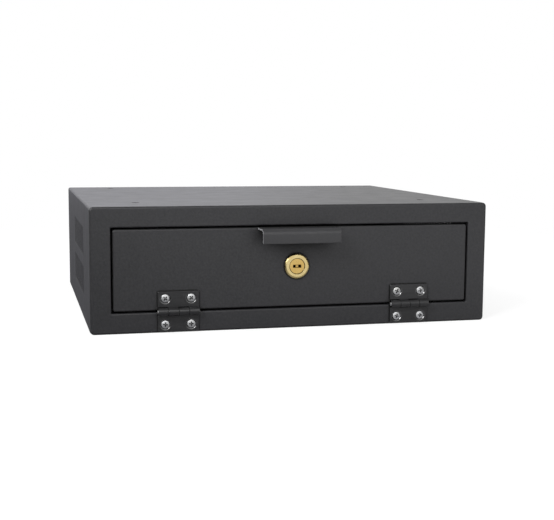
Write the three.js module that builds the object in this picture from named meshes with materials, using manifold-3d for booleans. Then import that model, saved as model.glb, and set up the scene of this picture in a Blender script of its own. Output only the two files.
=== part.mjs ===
// Under-desk safe: a low steel box with a flush drop-down door.
// Millimetres, +Z up, front towards -Y. The origin is the centre of the underside.
import * as THREE from 'three';
import { mergeVertices } from 'three/addons/utils/BufferGeometryUtils.js';
import Module from 'manifold-3d';

const wasm = await Module();
wasm.setup();

// Casing: outside sizes, sheet and folds
const casingWidth = 423;
const casingDepth = 377;
const casingHeight = 128;
const casingSheet = 2;
const longFoldRadius = 4;
const frontFoldRadius = 2.5;
const rearCornerRelief = 0.3;

// Front frame and the opening that the door fills
const frameBorder = 21;
const returnDepth = 14;
const openingFoldRadius = 1.6;
const doorGap = 1.8;

// Mounting holes in the top
const mountHoleDiameter = 8;
const mountHoleFromSide = 52.5;
const frontHoleFromFront = 60;
const rearHoleFromRear = 31;

// Ventilation: two fields of upright slots in each side
const slotWidth = 4;
const slotHeight = 31;
const slotPitch = 8;
const ventFieldLength = 148;
const ventFieldFromFront = 91;
const ventFieldSpacing = 42.5;

// Door: a folded pan that closes flush with the frame
const doorSheet = 2;
const doorCornerRadius = 2;
const doorFoldRadius = 1.6;
const stopClearance = 0.3;

// Angle tabs that stop the door
const stopSheet = 2;
const stopHeight = 20;
const stopLeg = 10;
const stopReach = 5;
const stopBelowOpeningTop = 8;

// Pull handle: one bent strip
const handleSheet = 2;
const handleWidth = 82;
const handleReach = 24;
const handleLip = 15;
const handleBendRadius = 6;
const handleCornerRadius = 1.2;

// Butt hinges with rolled knuckles
const hingeWidth = 42;
const hingeFromSide = 87.9;
const leafThickness = 1.8;
const leafReach = 20.4;
const leafCornerRadius = 1.5;
const knuckleCount = 4;
const knuckleGap = 0.3;
const plateClearance = 0.4;
const pinDiameter = 4;
const pinClearance = 0.15;
const pinProud = 0.7;
const pinChamfer = 0.6;
const curlEndAngle = THREE.MathUtils.degToRad(70);

// Hinge screws with their nuts; the raised heads lie deep in wide 90 degree countersinks
const screwFromPin = 13.3;
const screwSpacing = 26.4;
const screwDiameter = 4.8;
const screwHoleClearance = 0.2;
const sinkDiameter = 10.6;
const sinkClearance = 0.2;
const screwHeadDiameter = 8.2;
const screwHeadRise = 1;
const screwHeadEdge = 0.3;
const screwHeadUndercut = 0.2;
const screwEndProud = 1.2;
const screwEndChamfer = 0.5;
const recessSpan = 5;
const recessWidth = 1.3;
const recessDepth = 1.4;
const recessTurnStep = THREE.MathUtils.degToRad(25);
const nutAcrossFlats = 8;
const nutThickness = 3.6;
const nutBoreClearance = 0.15;

// Cam lock: housing with bezel, washer, nut, plug, cam and cam screw
const lockAboveMiddle = 0.7;
const bezelDiameter = 26.5;
const bezelHeight = 3;
const bezelEdge = 1;
const bezelFaceWidth = 2.2;
const barrelDiameter = 22;
const barrelFlats = 19.6;
const barrelHoleClearance = 0.2;
const plugDiameter = 16;
const plugClearance = 0.15;
const plugSink = 0.5;
const plugTailDiameter = 12;
const plugShoulder = 4;
const keywayWidth = 8.5;
const keywayHeight = 2.9;
const keywayDepth = 8;
const wardWidth = 2.7;
const wardSink = 0.8;
const lockWasherDiameter = 28;
const lockWasherThickness = 1;
const lockNutAcrossFlats = 27;
const lockNutThickness = 4.5;
const camThickness = 2.5;
const camWidth = 14;
const camClearance = 0.5;
const camOverlap = 5;
const camSquare = 8;
const camSquareClearance = 0.15;
const camScrewDiameter = 4.8;
const camScrewBoreClearance = 0.15;
const camScrewHeadDiameter = 11;
const camScrewHeadHeight = 3;
const camScrewLength = 9;

// How finely curves are divided
const foldSegments = 3;
const foldSteps = 5;
const slotEndSegments = 2;
const cornerSegments = 2;
const curlSegments = 11;
const camEndSegments = 6;
const screwSegments = 18;
const domeSteps = 3;
const lockSegments = 36;
const holeSegments = 18;
const hexSides = 6;

// Allowance by which a cutting solid runs past the faces that it cuts
const cutOver = 1;

// Places that follow from the sizes above
const front = -casingDepth / 2;
const rear = casingDepth / 2;
const openingWidth = casingWidth - 2 * frameBorder;
const openingHeight = casingHeight - 2 * frameBorder;
const doorWidth = openingWidth - 2 * doorGap;
const doorHeight = openingHeight - 2 * doorGap;
const doorDepth = returnDepth - stopClearance;
const middleHeight = casingHeight / 2;
const doorTop = middleHeight + doorHeight / 2;
const knuckleRadius = pinDiameter / 2 + pinClearance + leafThickness;
const knuckleBore = knuckleRadius - leafThickness;
const pinHeight = frameBorder + doorGap / 2;
const pinFront = front - knuckleRadius;
const panelFront = front + frontFoldRadius;
const hingeFromCentre = casingWidth / 2 - hingeFromSide;
const lockHeight = middleHeight + lockAboveMiddle;
const barrelRear = front + doorDepth;
const camFront = front + returnDepth + camClearance;
const camReach = openingHeight / 2 - lockAboveMiddle + casingSheet + camOverlap;

// Finishes
const powderCoat = { color: 0x3b3c40, roughness: 0.55, metalness: 0.1 };
const hingeBlack = { color: 0x2a2a2c, roughness: 0.45, metalness: 0.3 };
const zincSteel = { color: 0xb8babd, roughness: 0.3, metalness: 0.9 };
const yellowBrass = { color: 0xc9a352, roughness: 0.28, metalness: 0.9 };

const xAxis = new THREE.Vector3(1, 0, 0);
const yAxis = new THREE.Vector3(0, 1, 0);
const zAxis = new THREE.Vector3(0, 0, 1);
const downYAxis = new THREE.Vector3(0, -1, 0);

// A closed three.js geometry as a solid that can be cut and joined
function solidOf(geometry) {
  const bare = geometry.clone();
  bare.deleteAttribute('normal');
  bare.deleteAttribute('uv');
  const merged = mergeVertices(bare);
  return new wasm.Manifold(new wasm.Mesh({
    numProp: 3,
    vertProperties: merged.attributes.position.array,
    triVerts: new Uint32Array(merged.index.array),
  }));
}

// A cut or joined solid back as a three.js geometry
function geometryOf(solid) {
  const cut = solid.getMesh();
  const geometry = new THREE.BufferGeometry();
  geometry.setAttribute('position', new THREE.BufferAttribute(cut.vertProperties, 3));
  geometry.setIndex(new THREE.BufferAttribute(cut.triVerts, 1));
  geometry.computeVertexNormals();
  return geometry;
}

function named(name, geometry, finish) {
  const mesh = new THREE.Mesh(geometry, new THREE.MeshStandardMaterial(finish));
  mesh.name = name;
  return mesh;
}

function rectangle(width, height) {
  const shape = new THREE.Shape();
  shape.moveTo(-width / 2, -height / 2);
  shape.lineTo(width / 2, -height / 2);
  shape.lineTo(width / 2, height / 2);
  shape.lineTo(-width / 2, height / 2);
  shape.closePath();
  return shape;
}

function roundedRectangle(width, height, radius) {
  const right = width / 2 - radius;
  const top = height / 2 - radius;
  const shape = new THREE.Shape();
  shape.absarc(right, -top, radius, -Math.PI / 2, 0, false);
  shape.absarc(right, top, radius, 0, Math.PI / 2, false);
  shape.absarc(-right, top, radius, Math.PI / 2, Math.PI, false);
  shape.absarc(-right, -top, radius, Math.PI, 1.5 * Math.PI, false);
  shape.closePath();
  return shape;
}

// A profile drawn in (y, z) and pulled from xStart towards +X
function pullAlongX(profile, xStart, length, curveSegments = foldSegments) {
  const geometry = new THREE.ExtrudeGeometry(profile, { depth: length, bevelEnabled: false, curveSegments });
  geometry.applyMatrix4(new THREE.Matrix4().makeBasis(yAxis, zAxis, xAxis));
  geometry.translate(xStart, 0, 0);
  return geometry;
}

// A profile drawn in (x, z) and pulled from yStart towards +Y
function pullAlongY(profile, yStart, length, curveSegments = foldSegments) {
  const geometry = new THREE.ExtrudeGeometry(profile, { depth: length, bevelEnabled: false, curveSegments });
  geometry.applyMatrix4(new THREE.Matrix4().makeBasis(xAxis, zAxis, downYAxis));
  geometry.translate(0, yStart + length, 0);
  return geometry;
}

function boxBetween(low, high) {
  const geometry = new THREE.BoxGeometry(high[0] - low[0], high[1] - low[1], high[2] - low[2]);
  geometry.translate((low[0] + high[0]) / 2, (low[1] + high[1]) / 2, (low[2] + high[2]) / 2);
  return geometry;
}

function rodAlongY(diameter, yStart, yEnd, segments) {
  const geometry = new THREE.CylinderGeometry(diameter / 2, diameter / 2, yEnd - yStart, segments);
  geometry.translate(0, (yStart + yEnd) / 2, 0);
  return geometry;
}

// A round hole's cutter; the middles of its facets, not their corners, lie on the diameter
function boreAlongY(diameter, yStart, yEnd, segments) {
  return rodAlongY(diameter / Math.cos(Math.PI / segments), yStart, yEnd, segments);
}

// A block with its front edges folded round a radius, cut square at its back
function foldedBlock(width, height, cornerRadius, foldRadius, depth) {
  const geometry = new THREE.ExtrudeGeometry(roundedRectangle(width, height, cornerRadius), {
    depth: depth,
    bevelEnabled: true,
    bevelThickness: foldRadius,
    bevelSize: foldRadius,
    bevelOffset: -foldRadius,
    bevelSegments: foldSteps,
    curveSegments: cornerSegments,
  });
  geometry.applyMatrix4(new THREE.Matrix4().makeBasis(xAxis, zAxis, downYAxis));
  geometry.translate(0, front + depth + foldRadius, middleHeight);
  const keep = boxBetween([-width, front - cutOver, -height], [width, front + depth, 2 * height]);
  return solidOf(geometry).intersect(solidOf(keep));
}

// The sliver that a folded edge lacks beside a square corner, drawn from the corner
function foldSliver(radius) {
  const shape = new THREE.Shape();
  shape.moveTo(-cutOver, -cutOver);
  shape.lineTo(radius, -cutOver);
  shape.lineTo(radius, 0);
  shape.absarc(radius, radius, radius, -Math.PI / 2, -Math.PI, true);
  shape.lineTo(-cutOver, radius);
  shape.closePath();
  return shape;
}

// Long folds: the section of the top sheet, with a quarter bend down at each side
function foldedSheetSection() {
  const outer = casingWidth / 2;
  const bend = outer - longFoldRadius;
  const inner = longFoldRadius - casingSheet;
  const shape = new THREE.Shape();
  shape.absarc(bend, 0, longFoldRadius, 0, Math.PI / 2, false);
  shape.absarc(-bend, 0, longFoldRadius, Math.PI / 2, Math.PI, false);
  shape.absarc(-bend, 0, inner, Math.PI, Math.PI / 2, true);
  shape.absarc(bend, 0, inner, Math.PI / 2, 0, true);
  shape.closePath();
  return shape;
}

function topPanel() {
  const sheet = pullAlongY(foldedSheetSection(), panelFront, rear - panelFront);
  sheet.translate(0, 0, casingHeight - longFoldRadius);
  let panel = solidOf(sheet);
  const holeX = casingWidth / 2 - mountHoleFromSide;
  for (const x of [-holeX, holeX]) {
    for (const y of [front + frontHoleFromFront, rear - rearHoleFromRear]) {
      const hole = boreAlongY(mountHoleDiameter, -longFoldRadius, longFoldRadius, holeSegments);
      hole.rotateX(Math.PI / 2);
      hole.translate(x, y, casingHeight);
      panel = panel.subtract(solidOf(hole));
    }
  }
  return geometryOf(panel);
}

function bottomPanel() {
  const sheet = pullAlongY(foldedSheetSection(), panelFront, rear - panelFront);
  sheet.rotateY(Math.PI);
  sheet.translate(0, 0, longFoldRadius);
  return sheet;
}

function ventSlot(y, z) {
  const radius = slotWidth / 2;
  const straight = slotHeight / 2 - radius;
  const slot = new THREE.Path();
  slot.absarc(y, z + straight, radius, 0, Math.PI, false);
  slot.absarc(y, z - straight, radius, Math.PI, 2 * Math.PI, false);
  slot.closePath();
  return slot;
}

function sidePanel(xStart) {
  const profile = new THREE.Shape();
  profile.moveTo(panelFront, longFoldRadius);
  profile.lineTo(rear, longFoldRadius);
  profile.lineTo(rear, casingHeight - longFoldRadius);
  profile.lineTo(panelFront, casingHeight - longFoldRadius);
  profile.closePath();
  const slots = Math.floor((ventFieldLength - slotWidth) / slotPitch) + 1;
  const fieldMiddle = front + ventFieldFromFront + ventFieldLength / 2;
  for (const z of [middleHeight - ventFieldSpacing / 2, middleHeight + ventFieldSpacing / 2]) {
    for (let i = 0; i < slots; i += 1) {
      const y = fieldMiddle + (i - (slots - 1) / 2) * slotPitch;
      profile.holes.push(ventSlot(y, z));
    }
  }
  return pullAlongX(profile, xStart, casingSheet, slotEndSegments);
}

function rearPanel() {
  const width = casingWidth - 2 * casingSheet;
  const height = casingHeight - 2 * casingSheet;
  const radius = longFoldRadius - casingSheet + rearCornerRelief;
  const plate = pullAlongY(roundedRectangle(width, height, radius), rear - casingSheet, casingSheet);
  plate.translate(0, 0, middleHeight);
  return plate;
}

// The frame turns back to the walls at its outside and back into the box round the opening
function frontFrame() {
  const hollowRadius = longFoldRadius - casingSheet;
  const hollowShape = roundedRectangle(
    casingWidth - 2 * casingSheet, casingHeight - 2 * casingSheet, hollowRadius);
  const hollow = pullAlongY(hollowShape, front + casingSheet, frontFoldRadius);
  hollow.translate(0, 0, middleHeight);
  const collar = pullAlongY(
    rectangle(openingWidth + 2 * casingSheet, openingHeight + 2 * casingSheet),
    front + casingSheet / 2, returnDepth - casingSheet / 2);
  collar.translate(0, 0, middleHeight);
  const opening = pullAlongY(
    rectangle(openingWidth, openingHeight), front - cutOver, returnDepth + 2 * cutOver);
  opening.translate(0, 0, middleHeight);
  const face = foldedBlock(casingWidth, casingHeight, longFoldRadius, frontFoldRadius, frontFoldRadius);
  let frame = face.subtract(solidOf(hollow));
  frame = frame.add(solidOf(collar)).subtract(solidOf(opening));
  const longEdge = openingWidth + 2 * openingFoldRadius;
  const shortEdge = openingHeight + 2 * openingFoldRadius;
  for (const side of [-1, 1]) {
    const level = pullAlongX(foldSliver(openingFoldRadius), -longEdge / 2, longEdge);
    level.rotateX(side > 0 ? 0 : -Math.PI / 2);
    level.translate(0, front, middleHeight + side * openingHeight / 2);
    frame = frame.subtract(solidOf(level));
    const upright = new THREE.ExtrudeGeometry(foldSliver(openingFoldRadius), {
      depth: shortEdge, bevelEnabled: false, curveSegments: foldSegments,
    });
    upright.rotateZ(side > 0 ? 0 : Math.PI / 2);
    upright.translate(side * openingWidth / 2, front, middleHeight - shortEdge / 2);
    frame = frame.subtract(solidOf(upright));
  }
  for (const x of [-hingeFromCentre, hingeFromCentre]) {
    for (const offset of [-screwSpacing / 2, screwSpacing / 2]) {
      frame = frame.subtract(screwHole(x + offset, pinHeight - screwFromPin, casingSheet));
    }
  }
  return geometryOf(frame);
}

function screwHole(x, z, sheet) {
  const diameter = screwDiameter + 2 * screwHoleClearance;
  const hole = boreAlongY(diameter, front - cutOver, front + sheet + cutOver, screwSegments);
  hole.translate(x, 0, z);
  return solidOf(hole);
}

// Angle tab on the frame's turned-in edge; side is -1 at the left and 1 at the right
function doorStop(side) {
  const edge = openingWidth / 2;
  const outer = edge + casingSheet + stopSheet;
  const back = front + returnDepth;
  const shape = new THREE.Shape();
  shape.moveTo(side * (edge - stopReach), back);
  shape.lineTo(side * (edge + casingSheet), back);
  shape.lineTo(side * (edge + casingSheet), back - stopLeg);
  shape.lineTo(side * outer, back - stopLeg);
  shape.lineTo(side * outer, back + stopSheet);
  shape.lineTo(side * (edge - stopReach), back + stopSheet);
  shape.closePath();
  const tab = new THREE.ExtrudeGeometry(shape, { depth: stopHeight, bevelEnabled: false });
  tab.translate(0, 0, middleHeight + openingHeight / 2 - stopBelowOpeningTop - stopHeight);
  return tab;
}

function doorPanel() {
  const block = foldedBlock(doorWidth, doorHeight, doorCornerRadius, doorFoldRadius, doorDepth);
  const hollow = pullAlongY(
    rectangle(doorWidth - 2 * doorSheet, doorHeight - 2 * doorSheet), front + doorSheet, doorDepth);
  hollow.translate(0, 0, middleHeight);
  let door = block.subtract(solidOf(hollow));
  door = door.subtract(flattedRod(
    barrelDiameter + 2 * barrelHoleClearance, barrelFlats + 2 * barrelHoleClearance,
    front - cutOver, front + doorSheet + cutOver));
  for (const x of [-hingeFromCentre, hingeFromCentre]) {
    for (const offset of [-screwSpacing / 2, screwSpacing / 2]) {
      door = door.subtract(screwHole(x + offset, pinHeight + screwFromPin, doorSheet));
    }
  }
  return geometryOf(door);
}

// A rod at the lock's axis with a flat at each side
function flattedRod(diameter, acrossFlats, yStart, yEnd) {
  const rod = boreAlongY(diameter, yStart, yEnd, lockSegments);
  const flats = boxBetween([-acrossFlats / 2, yStart, -diameter], [acrossFlats / 2, yEnd, diameter]);
  rod.translate(0, 0, lockHeight);
  flats.translate(0, 0, lockHeight);
  return solidOf(rod).intersect(solidOf(flats));
}

// Bent strip: out from the door's upper edge, then down as a lip
function pullHandle() {
  const tip = front - handleReach;
  const bendInner = handleBendRadius - handleSheet;
  const bendY = tip + handleBendRadius;
  const bendZ = doorTop - handleBendRadius;
  const shape = new THREE.Shape();
  shape.moveTo(front, doorTop - handleSheet);
  shape.lineTo(front, doorTop);
  shape.absarc(bendY, bendZ, handleBendRadius, Math.PI / 2, Math.PI, false);
  shape.lineTo(tip, doorTop - handleLip);
  shape.lineTo(tip + handleSheet, doorTop - handleLip);
  shape.absarc(bendY, bendZ, bendInner, Math.PI, Math.PI / 2, true);
  shape.closePath();
  const strip = pullAlongX(shape, -handleWidth / 2, handleWidth);
  const outline = roundedRectangle(handleWidth, 2 * handleLip, handleCornerRadius);
  const trim = pullAlongY(outline, tip - cutOver, handleReach + 2 * cutOver);
  trim.translate(0, 0, doorTop);
  return geometryOf(solidOf(strip).intersect(solidOf(trim)));
}

// Section of a rolled knuckle about the pin, with a short piece of the plate above it
function curlSection() {
  const shape = new THREE.Shape();
  const rise = knuckleRadius + plateClearance + leafThickness;
  shape.moveTo(knuckleRadius, rise);
  shape.lineTo(knuckleBore, rise);
  shape.absarc(0, 0, knuckleBore, 0, curlEndAngle, true);
  shape.absarc(0, 0, knuckleRadius, curlEndAngle, 2 * Math.PI, false);
  shape.closePath();
  return shape;
}

// A leaf about the pin's middle: the plate goes up from the pin and its back is towards +Y
function hingeLeaf() {
  const low = knuckleRadius + plateClearance;
  const radius = leafCornerRadius;
  const half = hingeWidth / 2;
  const plateShape = new THREE.Shape();
  plateShape.moveTo(-half, low);
  plateShape.lineTo(half, low);
  plateShape.absarc(half - radius, leafReach - radius, radius, 0, Math.PI / 2, false);
  plateShape.absarc(-half + radius, leafReach - radius, radius, Math.PI / 2, Math.PI, false);
  plateShape.closePath();
  let leaf = solidOf(pullAlongY(plateShape, knuckleBore, leafThickness));
  const step = hingeWidth / knuckleCount;
  for (let i = 1; i < knuckleCount; i += 2) {
    const start = -half + i * step + knuckleGap / 2;
    const end = i === knuckleCount - 1 ? half : -half + (i + 1) * step - knuckleGap / 2;
    leaf = leaf.add(solidOf(pullAlongX(curlSection(), start, end - start, curlSegments)));
  }
  for (const x of [-screwSpacing / 2, screwSpacing / 2]) {
    const sink = countersink();
    sink.translate(x, 0, screwFromPin);
    leaf = leaf.subtract(solidOf(sink));
  }
  return geometryOf(leaf);
}

// A cone that narrows by as much as it is deep, from the leaf's face through its back
function countersink() {
  const wide = sinkDiameter / 2 + cutOver;
  const narrow = sinkDiameter / 2 - leafThickness - cutOver;
  const outward = 1 / Math.cos(Math.PI / screwSegments);
  const depth = leafThickness + 2 * cutOver;
  const cone = new THREE.CylinderGeometry(narrow * outward, wide * outward, depth, screwSegments);
  cone.translate(0, knuckleBore + leafThickness / 2, 0);
  return cone;
}

function hingePin() {
  const radius = pinDiameter / 2;
  const half = hingeWidth / 2 + pinProud;
  const profile = [
    new THREE.Vector2(0, -half),
    new THREE.Vector2(radius - pinChamfer, -half),
    new THREE.Vector2(radius, -half + pinChamfer),
    new THREE.Vector2(radius, half - pinChamfer),
    new THREE.Vector2(radius - pinChamfer, half),
    new THREE.Vector2(0, half),
  ];
  const pin = new THREE.LatheGeometry(profile, screwSegments);
  pin.rotateZ(Math.PI / 2);
  return pin;
}

// Raised countersunk screw with a cross recess; the leaf's face is y = 0, the shank runs to +Y
function hingeScrew(shankLength) {
  const radius = screwDiameter / 2;
  const headRadius = screwHeadDiameter / 2;
  const coneStart = sinkDiameter / 2 - headRadius - sinkClearance * Math.SQRT2;
  const coneEnd = leafThickness - screwHeadUndercut;
  const edge = coneStart - screwHeadEdge;
  const crown = edge - screwHeadRise;
  const profile = [];
  for (let i = 0; i <= domeSteps; i += 1) {
    const angle = (i / domeSteps) * (Math.PI / 2);
    profile.push(new THREE.Vector2(headRadius * Math.sin(angle), edge - screwHeadRise * Math.cos(angle)));
  }
  profile.push(
    new THREE.Vector2(headRadius, coneStart),
    new THREE.Vector2(headRadius - (coneEnd - coneStart), coneEnd),
    new THREE.Vector2(radius, coneEnd),
    new THREE.Vector2(radius, shankLength - screwEndChamfer),
    new THREE.Vector2(radius - screwEndChamfer, shankLength),
    new THREE.Vector2(0, shankLength),
  );
  let screw = solidOf(new THREE.LatheGeometry(profile, screwSegments));
  const blade = [recessSpan / 2, recessWidth / 2];
  for (const [x, z] of [blade, blade.slice().reverse()]) {
    const slot = boxBetween([-x, crown - cutOver, -z], [x, crown + recessDepth, z]);
    screw = screw.subtract(solidOf(slot));
  }
  return geometryOf(screw);
}

// Hexagon nut whose seat is y = 0
function hexNut(acrossFlats, thickness, bore, boreSegments) {
  const corner = acrossFlats / 2 / Math.cos(Math.PI / hexSides);
  const block = new THREE.CylinderGeometry(corner, corner, thickness, hexSides);
  block.translate(0, thickness / 2, 0);
  const hole = boreAlongY(bore, -cutOver, thickness + cutOver, boreSegments);
  return geometryOf(solidOf(block).subtract(solidOf(hole)));
}

// Bezel and barrel in one turned piece with two flats; the door's face is y = 0
function lockHousing() {
  const bore = plugDiameter / 2 + plugClearance;
  const tailBore = plugTailDiameter / 2 + plugClearance;
  const rearEnd = barrelRear - front;
  const shoulder = rearEnd - plugShoulder;
  const faceRadius = bore + bezelFaceWidth;
  const profile = [
    new THREE.Vector2(bore, shoulder),
    new THREE.Vector2(bore, -bezelHeight),
    new THREE.Vector2(faceRadius, -bezelHeight),
  ];
  for (let i = 1; i <= domeSteps; i += 1) {
    const angle = (i / domeSteps) * (Math.PI / 2);
    const radius = faceRadius + (bezelDiameter / 2 - faceRadius) * Math.sin(angle);
    profile.push(new THREE.Vector2(radius, -bezelEdge - (bezelHeight - bezelEdge) * Math.cos(angle)));
  }
  profile.push(
    new THREE.Vector2(bezelDiameter / 2, 0),
    new THREE.Vector2(barrelDiameter / 2, 0),
    new THREE.Vector2(barrelDiameter / 2, rearEnd),
    new THREE.Vector2(tailBore, rearEnd),
    new THREE.Vector2(tailBore, shoulder),
    new THREE.Vector2(bore, shoulder),
  );
  let housing = solidOf(new THREE.LatheGeometry(profile, lockSegments));
  for (const side of [-1, 1]) {
    const near = side * barrelFlats / 2;
    const far = side * barrelDiameter;
    const cut = boxBetween(
      [Math.min(near, far), 0, -barrelDiameter], [Math.max(near, far), rearEnd + cutOver, barrelDiameter]);
    housing = housing.subtract(solidOf(cut));
  }
  return geometryOf(housing);
}

function lockWasher() {
  const disc = rodAlongY(lockWasherDiameter, 0, lockWasherThickness, lockSegments);
  const hole = boreAlongY(
    barrelDiameter + 2 * barrelHoleClearance, -cutOver, lockWasherThickness + cutOver, lockSegments);
  return geometryOf(solidOf(disc).subtract(solidOf(hole)));
}

// The plug turns in the housing; its square tail carries the cam
function lockPlug() {
  const nose = plugSink - bezelHeight;
  const shoulder = barrelRear - front - plugShoulder - plugClearance;
  const tailEnd = camFront - front - plugClearance;
  const squareEnd = camFront - front + camThickness;
  const profile = [
    new THREE.Vector2(0, nose),
    new THREE.Vector2(plugDiameter / 2, nose),
    new THREE.Vector2(plugDiameter / 2, shoulder),
    new THREE.Vector2(plugTailDiameter / 2, shoulder),
    new THREE.Vector2(plugTailDiameter / 2, tailEnd),
    new THREE.Vector2(0, tailEnd),
  ];
  let plug = solidOf(new THREE.LatheGeometry(profile, lockSegments));
  const half = camSquare / 2;
  plug = plug.add(solidOf(boxBetween([-half, shoulder, -half], [half, squareEnd, half])));
  const boreStart = squareEnd - camScrewLength - camScrewBoreClearance;
  const boreDiameter = camScrewDiameter + 2 * camScrewBoreClearance;
  const bore = boreAlongY(boreDiameter, boreStart, squareEnd + cutOver, screwSegments);
  plug = plug.subtract(solidOf(bore));
  const wide = keywayWidth / 2;
  const tall = keywayHeight / 2;
  const ward = wardWidth / 2;
  const cuts = [
    boxBetween([-wide, nose - cutOver, -tall], [wide, nose + wardSink, tall]),
    boxBetween([-wide, nose - cutOver, -tall], [-ward, nose + keywayDepth, tall]),
    boxBetween([ward, nose - cutOver, -tall], [wide, nose + keywayDepth, tall]),
  ];
  for (const cut of cuts) {
    plug = plug.subtract(solidOf(cut));
  }
  return geometryOf(plug);
}

// Flat arm with a square hole; it lies towards -X and swings up behind the frame
function lockCam() {
  const radius = camWidth / 2;
  const shape = new THREE.Shape();
  shape.absarc(0, 0, radius, -Math.PI / 2, Math.PI / 2, false);
  shape.absarc(-camReach + radius, 0, radius, Math.PI / 2, 1.5 * Math.PI, false);
  shape.closePath();
  const half = camSquare / 2 + camSquareClearance;
  const square = new THREE.Path();
  square.moveTo(-half, -half);
  square.lineTo(-half, half);
  square.lineTo(half, half);
  square.lineTo(half, -half);
  square.closePath();
  shape.holes.push(square);
  return pullAlongY(shape, camFront - front, camThickness, camEndSegments);
}

function camScrew() {
  const seat = camFront - front + camThickness;
  const radius = camScrewDiameter / 2;
  const profile = [
    new THREE.Vector2(0, seat - camScrewLength),
    new THREE.Vector2(radius, seat - camScrewLength),
    new THREE.Vector2(radius, seat),
    new THREE.Vector2(camScrewHeadDiameter / 2, seat),
    new THREE.Vector2(camScrewHeadDiameter / 2, seat + camScrewHeadHeight / 2),
    new THREE.Vector2(camScrewHeadDiameter / 2 - camScrewHeadHeight / 2, seat + camScrewHeadHeight),
    new THREE.Vector2(0, seat + camScrewHeadHeight),
  ];
  return new THREE.LatheGeometry(profile, screwSegments);
}

const casing = new THREE.Group();
casing.add(named('top_panel', topPanel(), powderCoat));
casing.add(named('bottom_panel', bottomPanel(), powderCoat));
casing.add(named('left_side_panel', sidePanel(-casingWidth / 2), powderCoat));
casing.add(named('right_side_panel', sidePanel(casingWidth / 2 - casingSheet), powderCoat));
casing.add(named('rear_panel', rearPanel(), powderCoat));
casing.add(named('front_frame', frontFrame(), powderCoat));
casing.add(named('door_stop_left', doorStop(-1), powderCoat));
casing.add(named('door_stop_right', doorStop(1), powderCoat));

const door = new THREE.Group();
door.add(named('door_panel', doorPanel(), powderCoat));
door.add(named('pull_handle', pullHandle(), powderCoat));

// One hinge about its pin, with its screws and nuts
function addHinge(side, x) {
  const onFrame = new THREE.Group();
  const onDoor = new THREE.Group();
  onFrame.position.set(x, pinFront, pinHeight);
  onDoor.position.copy(onFrame.position);
  const frameLeaf = named(`hinge_frame_leaf_${side}`, hingeLeaf(), hingeBlack);
  frameLeaf.rotation.y = Math.PI;
  onFrame.add(frameLeaf);
  onFrame.add(named(`hinge_pin_${side}`, hingePin(), zincSteel));
  onDoor.add(named(`hinge_door_leaf_${side}`, hingeLeaf(), hingeBlack));
  addFasteners(onFrame, `frame_${side}`, -screwFromPin, casingSheet);
  addFasteners(onDoor, `door_${side}`, screwFromPin, doorSheet);
  casing.add(onFrame);
  door.add(onDoor);
}

function addFasteners(group, place, z, sheet) {
  const shank = leafThickness + sheet + nutThickness + screwEndProud;
  const bore = screwDiameter + 2 * nutBoreClearance;
  for (const [index, end] of ['a', 'b'].entries()) {
    const x = (index - 0.5) * screwSpacing;
    const screw = named(`screw_${place}_${end}`, hingeScrew(shank), zincSteel);
    screw.position.set(x, knuckleBore, z);
    screw.rotation.y = (index + 1) * recessTurnStep;
    group.add(screw);
    const nutBody = hexNut(nutAcrossFlats, nutThickness, bore, screwSegments);
    const nut = named(`nut_${place}_${end}`, nutBody, zincSteel);
    nut.position.set(x, knuckleRadius + sheet, z);
    group.add(nut);
  }
}

addHinge('left', -hingeFromCentre);
addHinge('right', hingeFromCentre);

const lock = new THREE.Group();
lock.position.set(0, front, lockHeight);
lock.add(named('lock_housing', lockHousing(), yellowBrass));
const washer = named('lock_washer', lockWasher(), zincSteel);
washer.position.y = doorSheet;
lock.add(washer);
const lockNutBore = barrelDiameter + 2 * nutBoreClearance;
const nutBody = hexNut(lockNutAcrossFlats, lockNutThickness, lockNutBore, lockSegments);
const nut = named('lock_nut', nutBody, zincSteel);
nut.position.y = doorSheet + lockWasherThickness;
lock.add(nut);
lock.add(named('lock_plug', lockPlug(), yellowBrass));
lock.add(named('lock_cam', lockCam(), zincSteel));
lock.add(named('cam_screw', camScrew(), zincSteel));
door.add(lock);

const safe = new THREE.Group();
safe.add(casing);
safe.add(door);

export default safe;
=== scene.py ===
# %% [markdown]
# # A safe that hangs under a desk
# The real one is a low welded box of 2 mm steel sheet in black powder coat, with a drop-down
# door on two small butt hinges, a brass cam lock and a bent sheet pull.
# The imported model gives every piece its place, size and motion. Its solids are faceted, so
# this lesson builds each piece again with smooth folds, rounded edges, threads and cut
# recesses, and gives it a finish made of nodes.

import math

import bmesh
import bpy
from mathutils import Matrix, Vector


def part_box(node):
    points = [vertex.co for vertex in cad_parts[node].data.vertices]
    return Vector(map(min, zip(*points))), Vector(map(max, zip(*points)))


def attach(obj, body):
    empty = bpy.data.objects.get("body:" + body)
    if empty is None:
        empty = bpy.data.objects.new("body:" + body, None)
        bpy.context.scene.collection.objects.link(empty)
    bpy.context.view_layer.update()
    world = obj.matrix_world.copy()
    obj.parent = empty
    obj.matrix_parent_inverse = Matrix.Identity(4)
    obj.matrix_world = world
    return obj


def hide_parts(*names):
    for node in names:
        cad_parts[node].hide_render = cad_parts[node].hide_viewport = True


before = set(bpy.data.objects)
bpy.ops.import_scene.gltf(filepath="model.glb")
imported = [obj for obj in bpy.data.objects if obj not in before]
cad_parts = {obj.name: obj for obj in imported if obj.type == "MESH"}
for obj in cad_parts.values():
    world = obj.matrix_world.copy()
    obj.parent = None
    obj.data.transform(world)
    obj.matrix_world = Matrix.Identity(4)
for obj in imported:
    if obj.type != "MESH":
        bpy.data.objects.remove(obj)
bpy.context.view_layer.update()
scene = bpy.context.scene

# %% [markdown]
# ## Where the box lies
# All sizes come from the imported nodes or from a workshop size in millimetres. The front face
# of the casing is the plane that the door, the hinges and the lock are set against, so its
# depth and the lock's middle are named once here and used everywhere below.

# %% Main places
MM = 0.001

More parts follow.
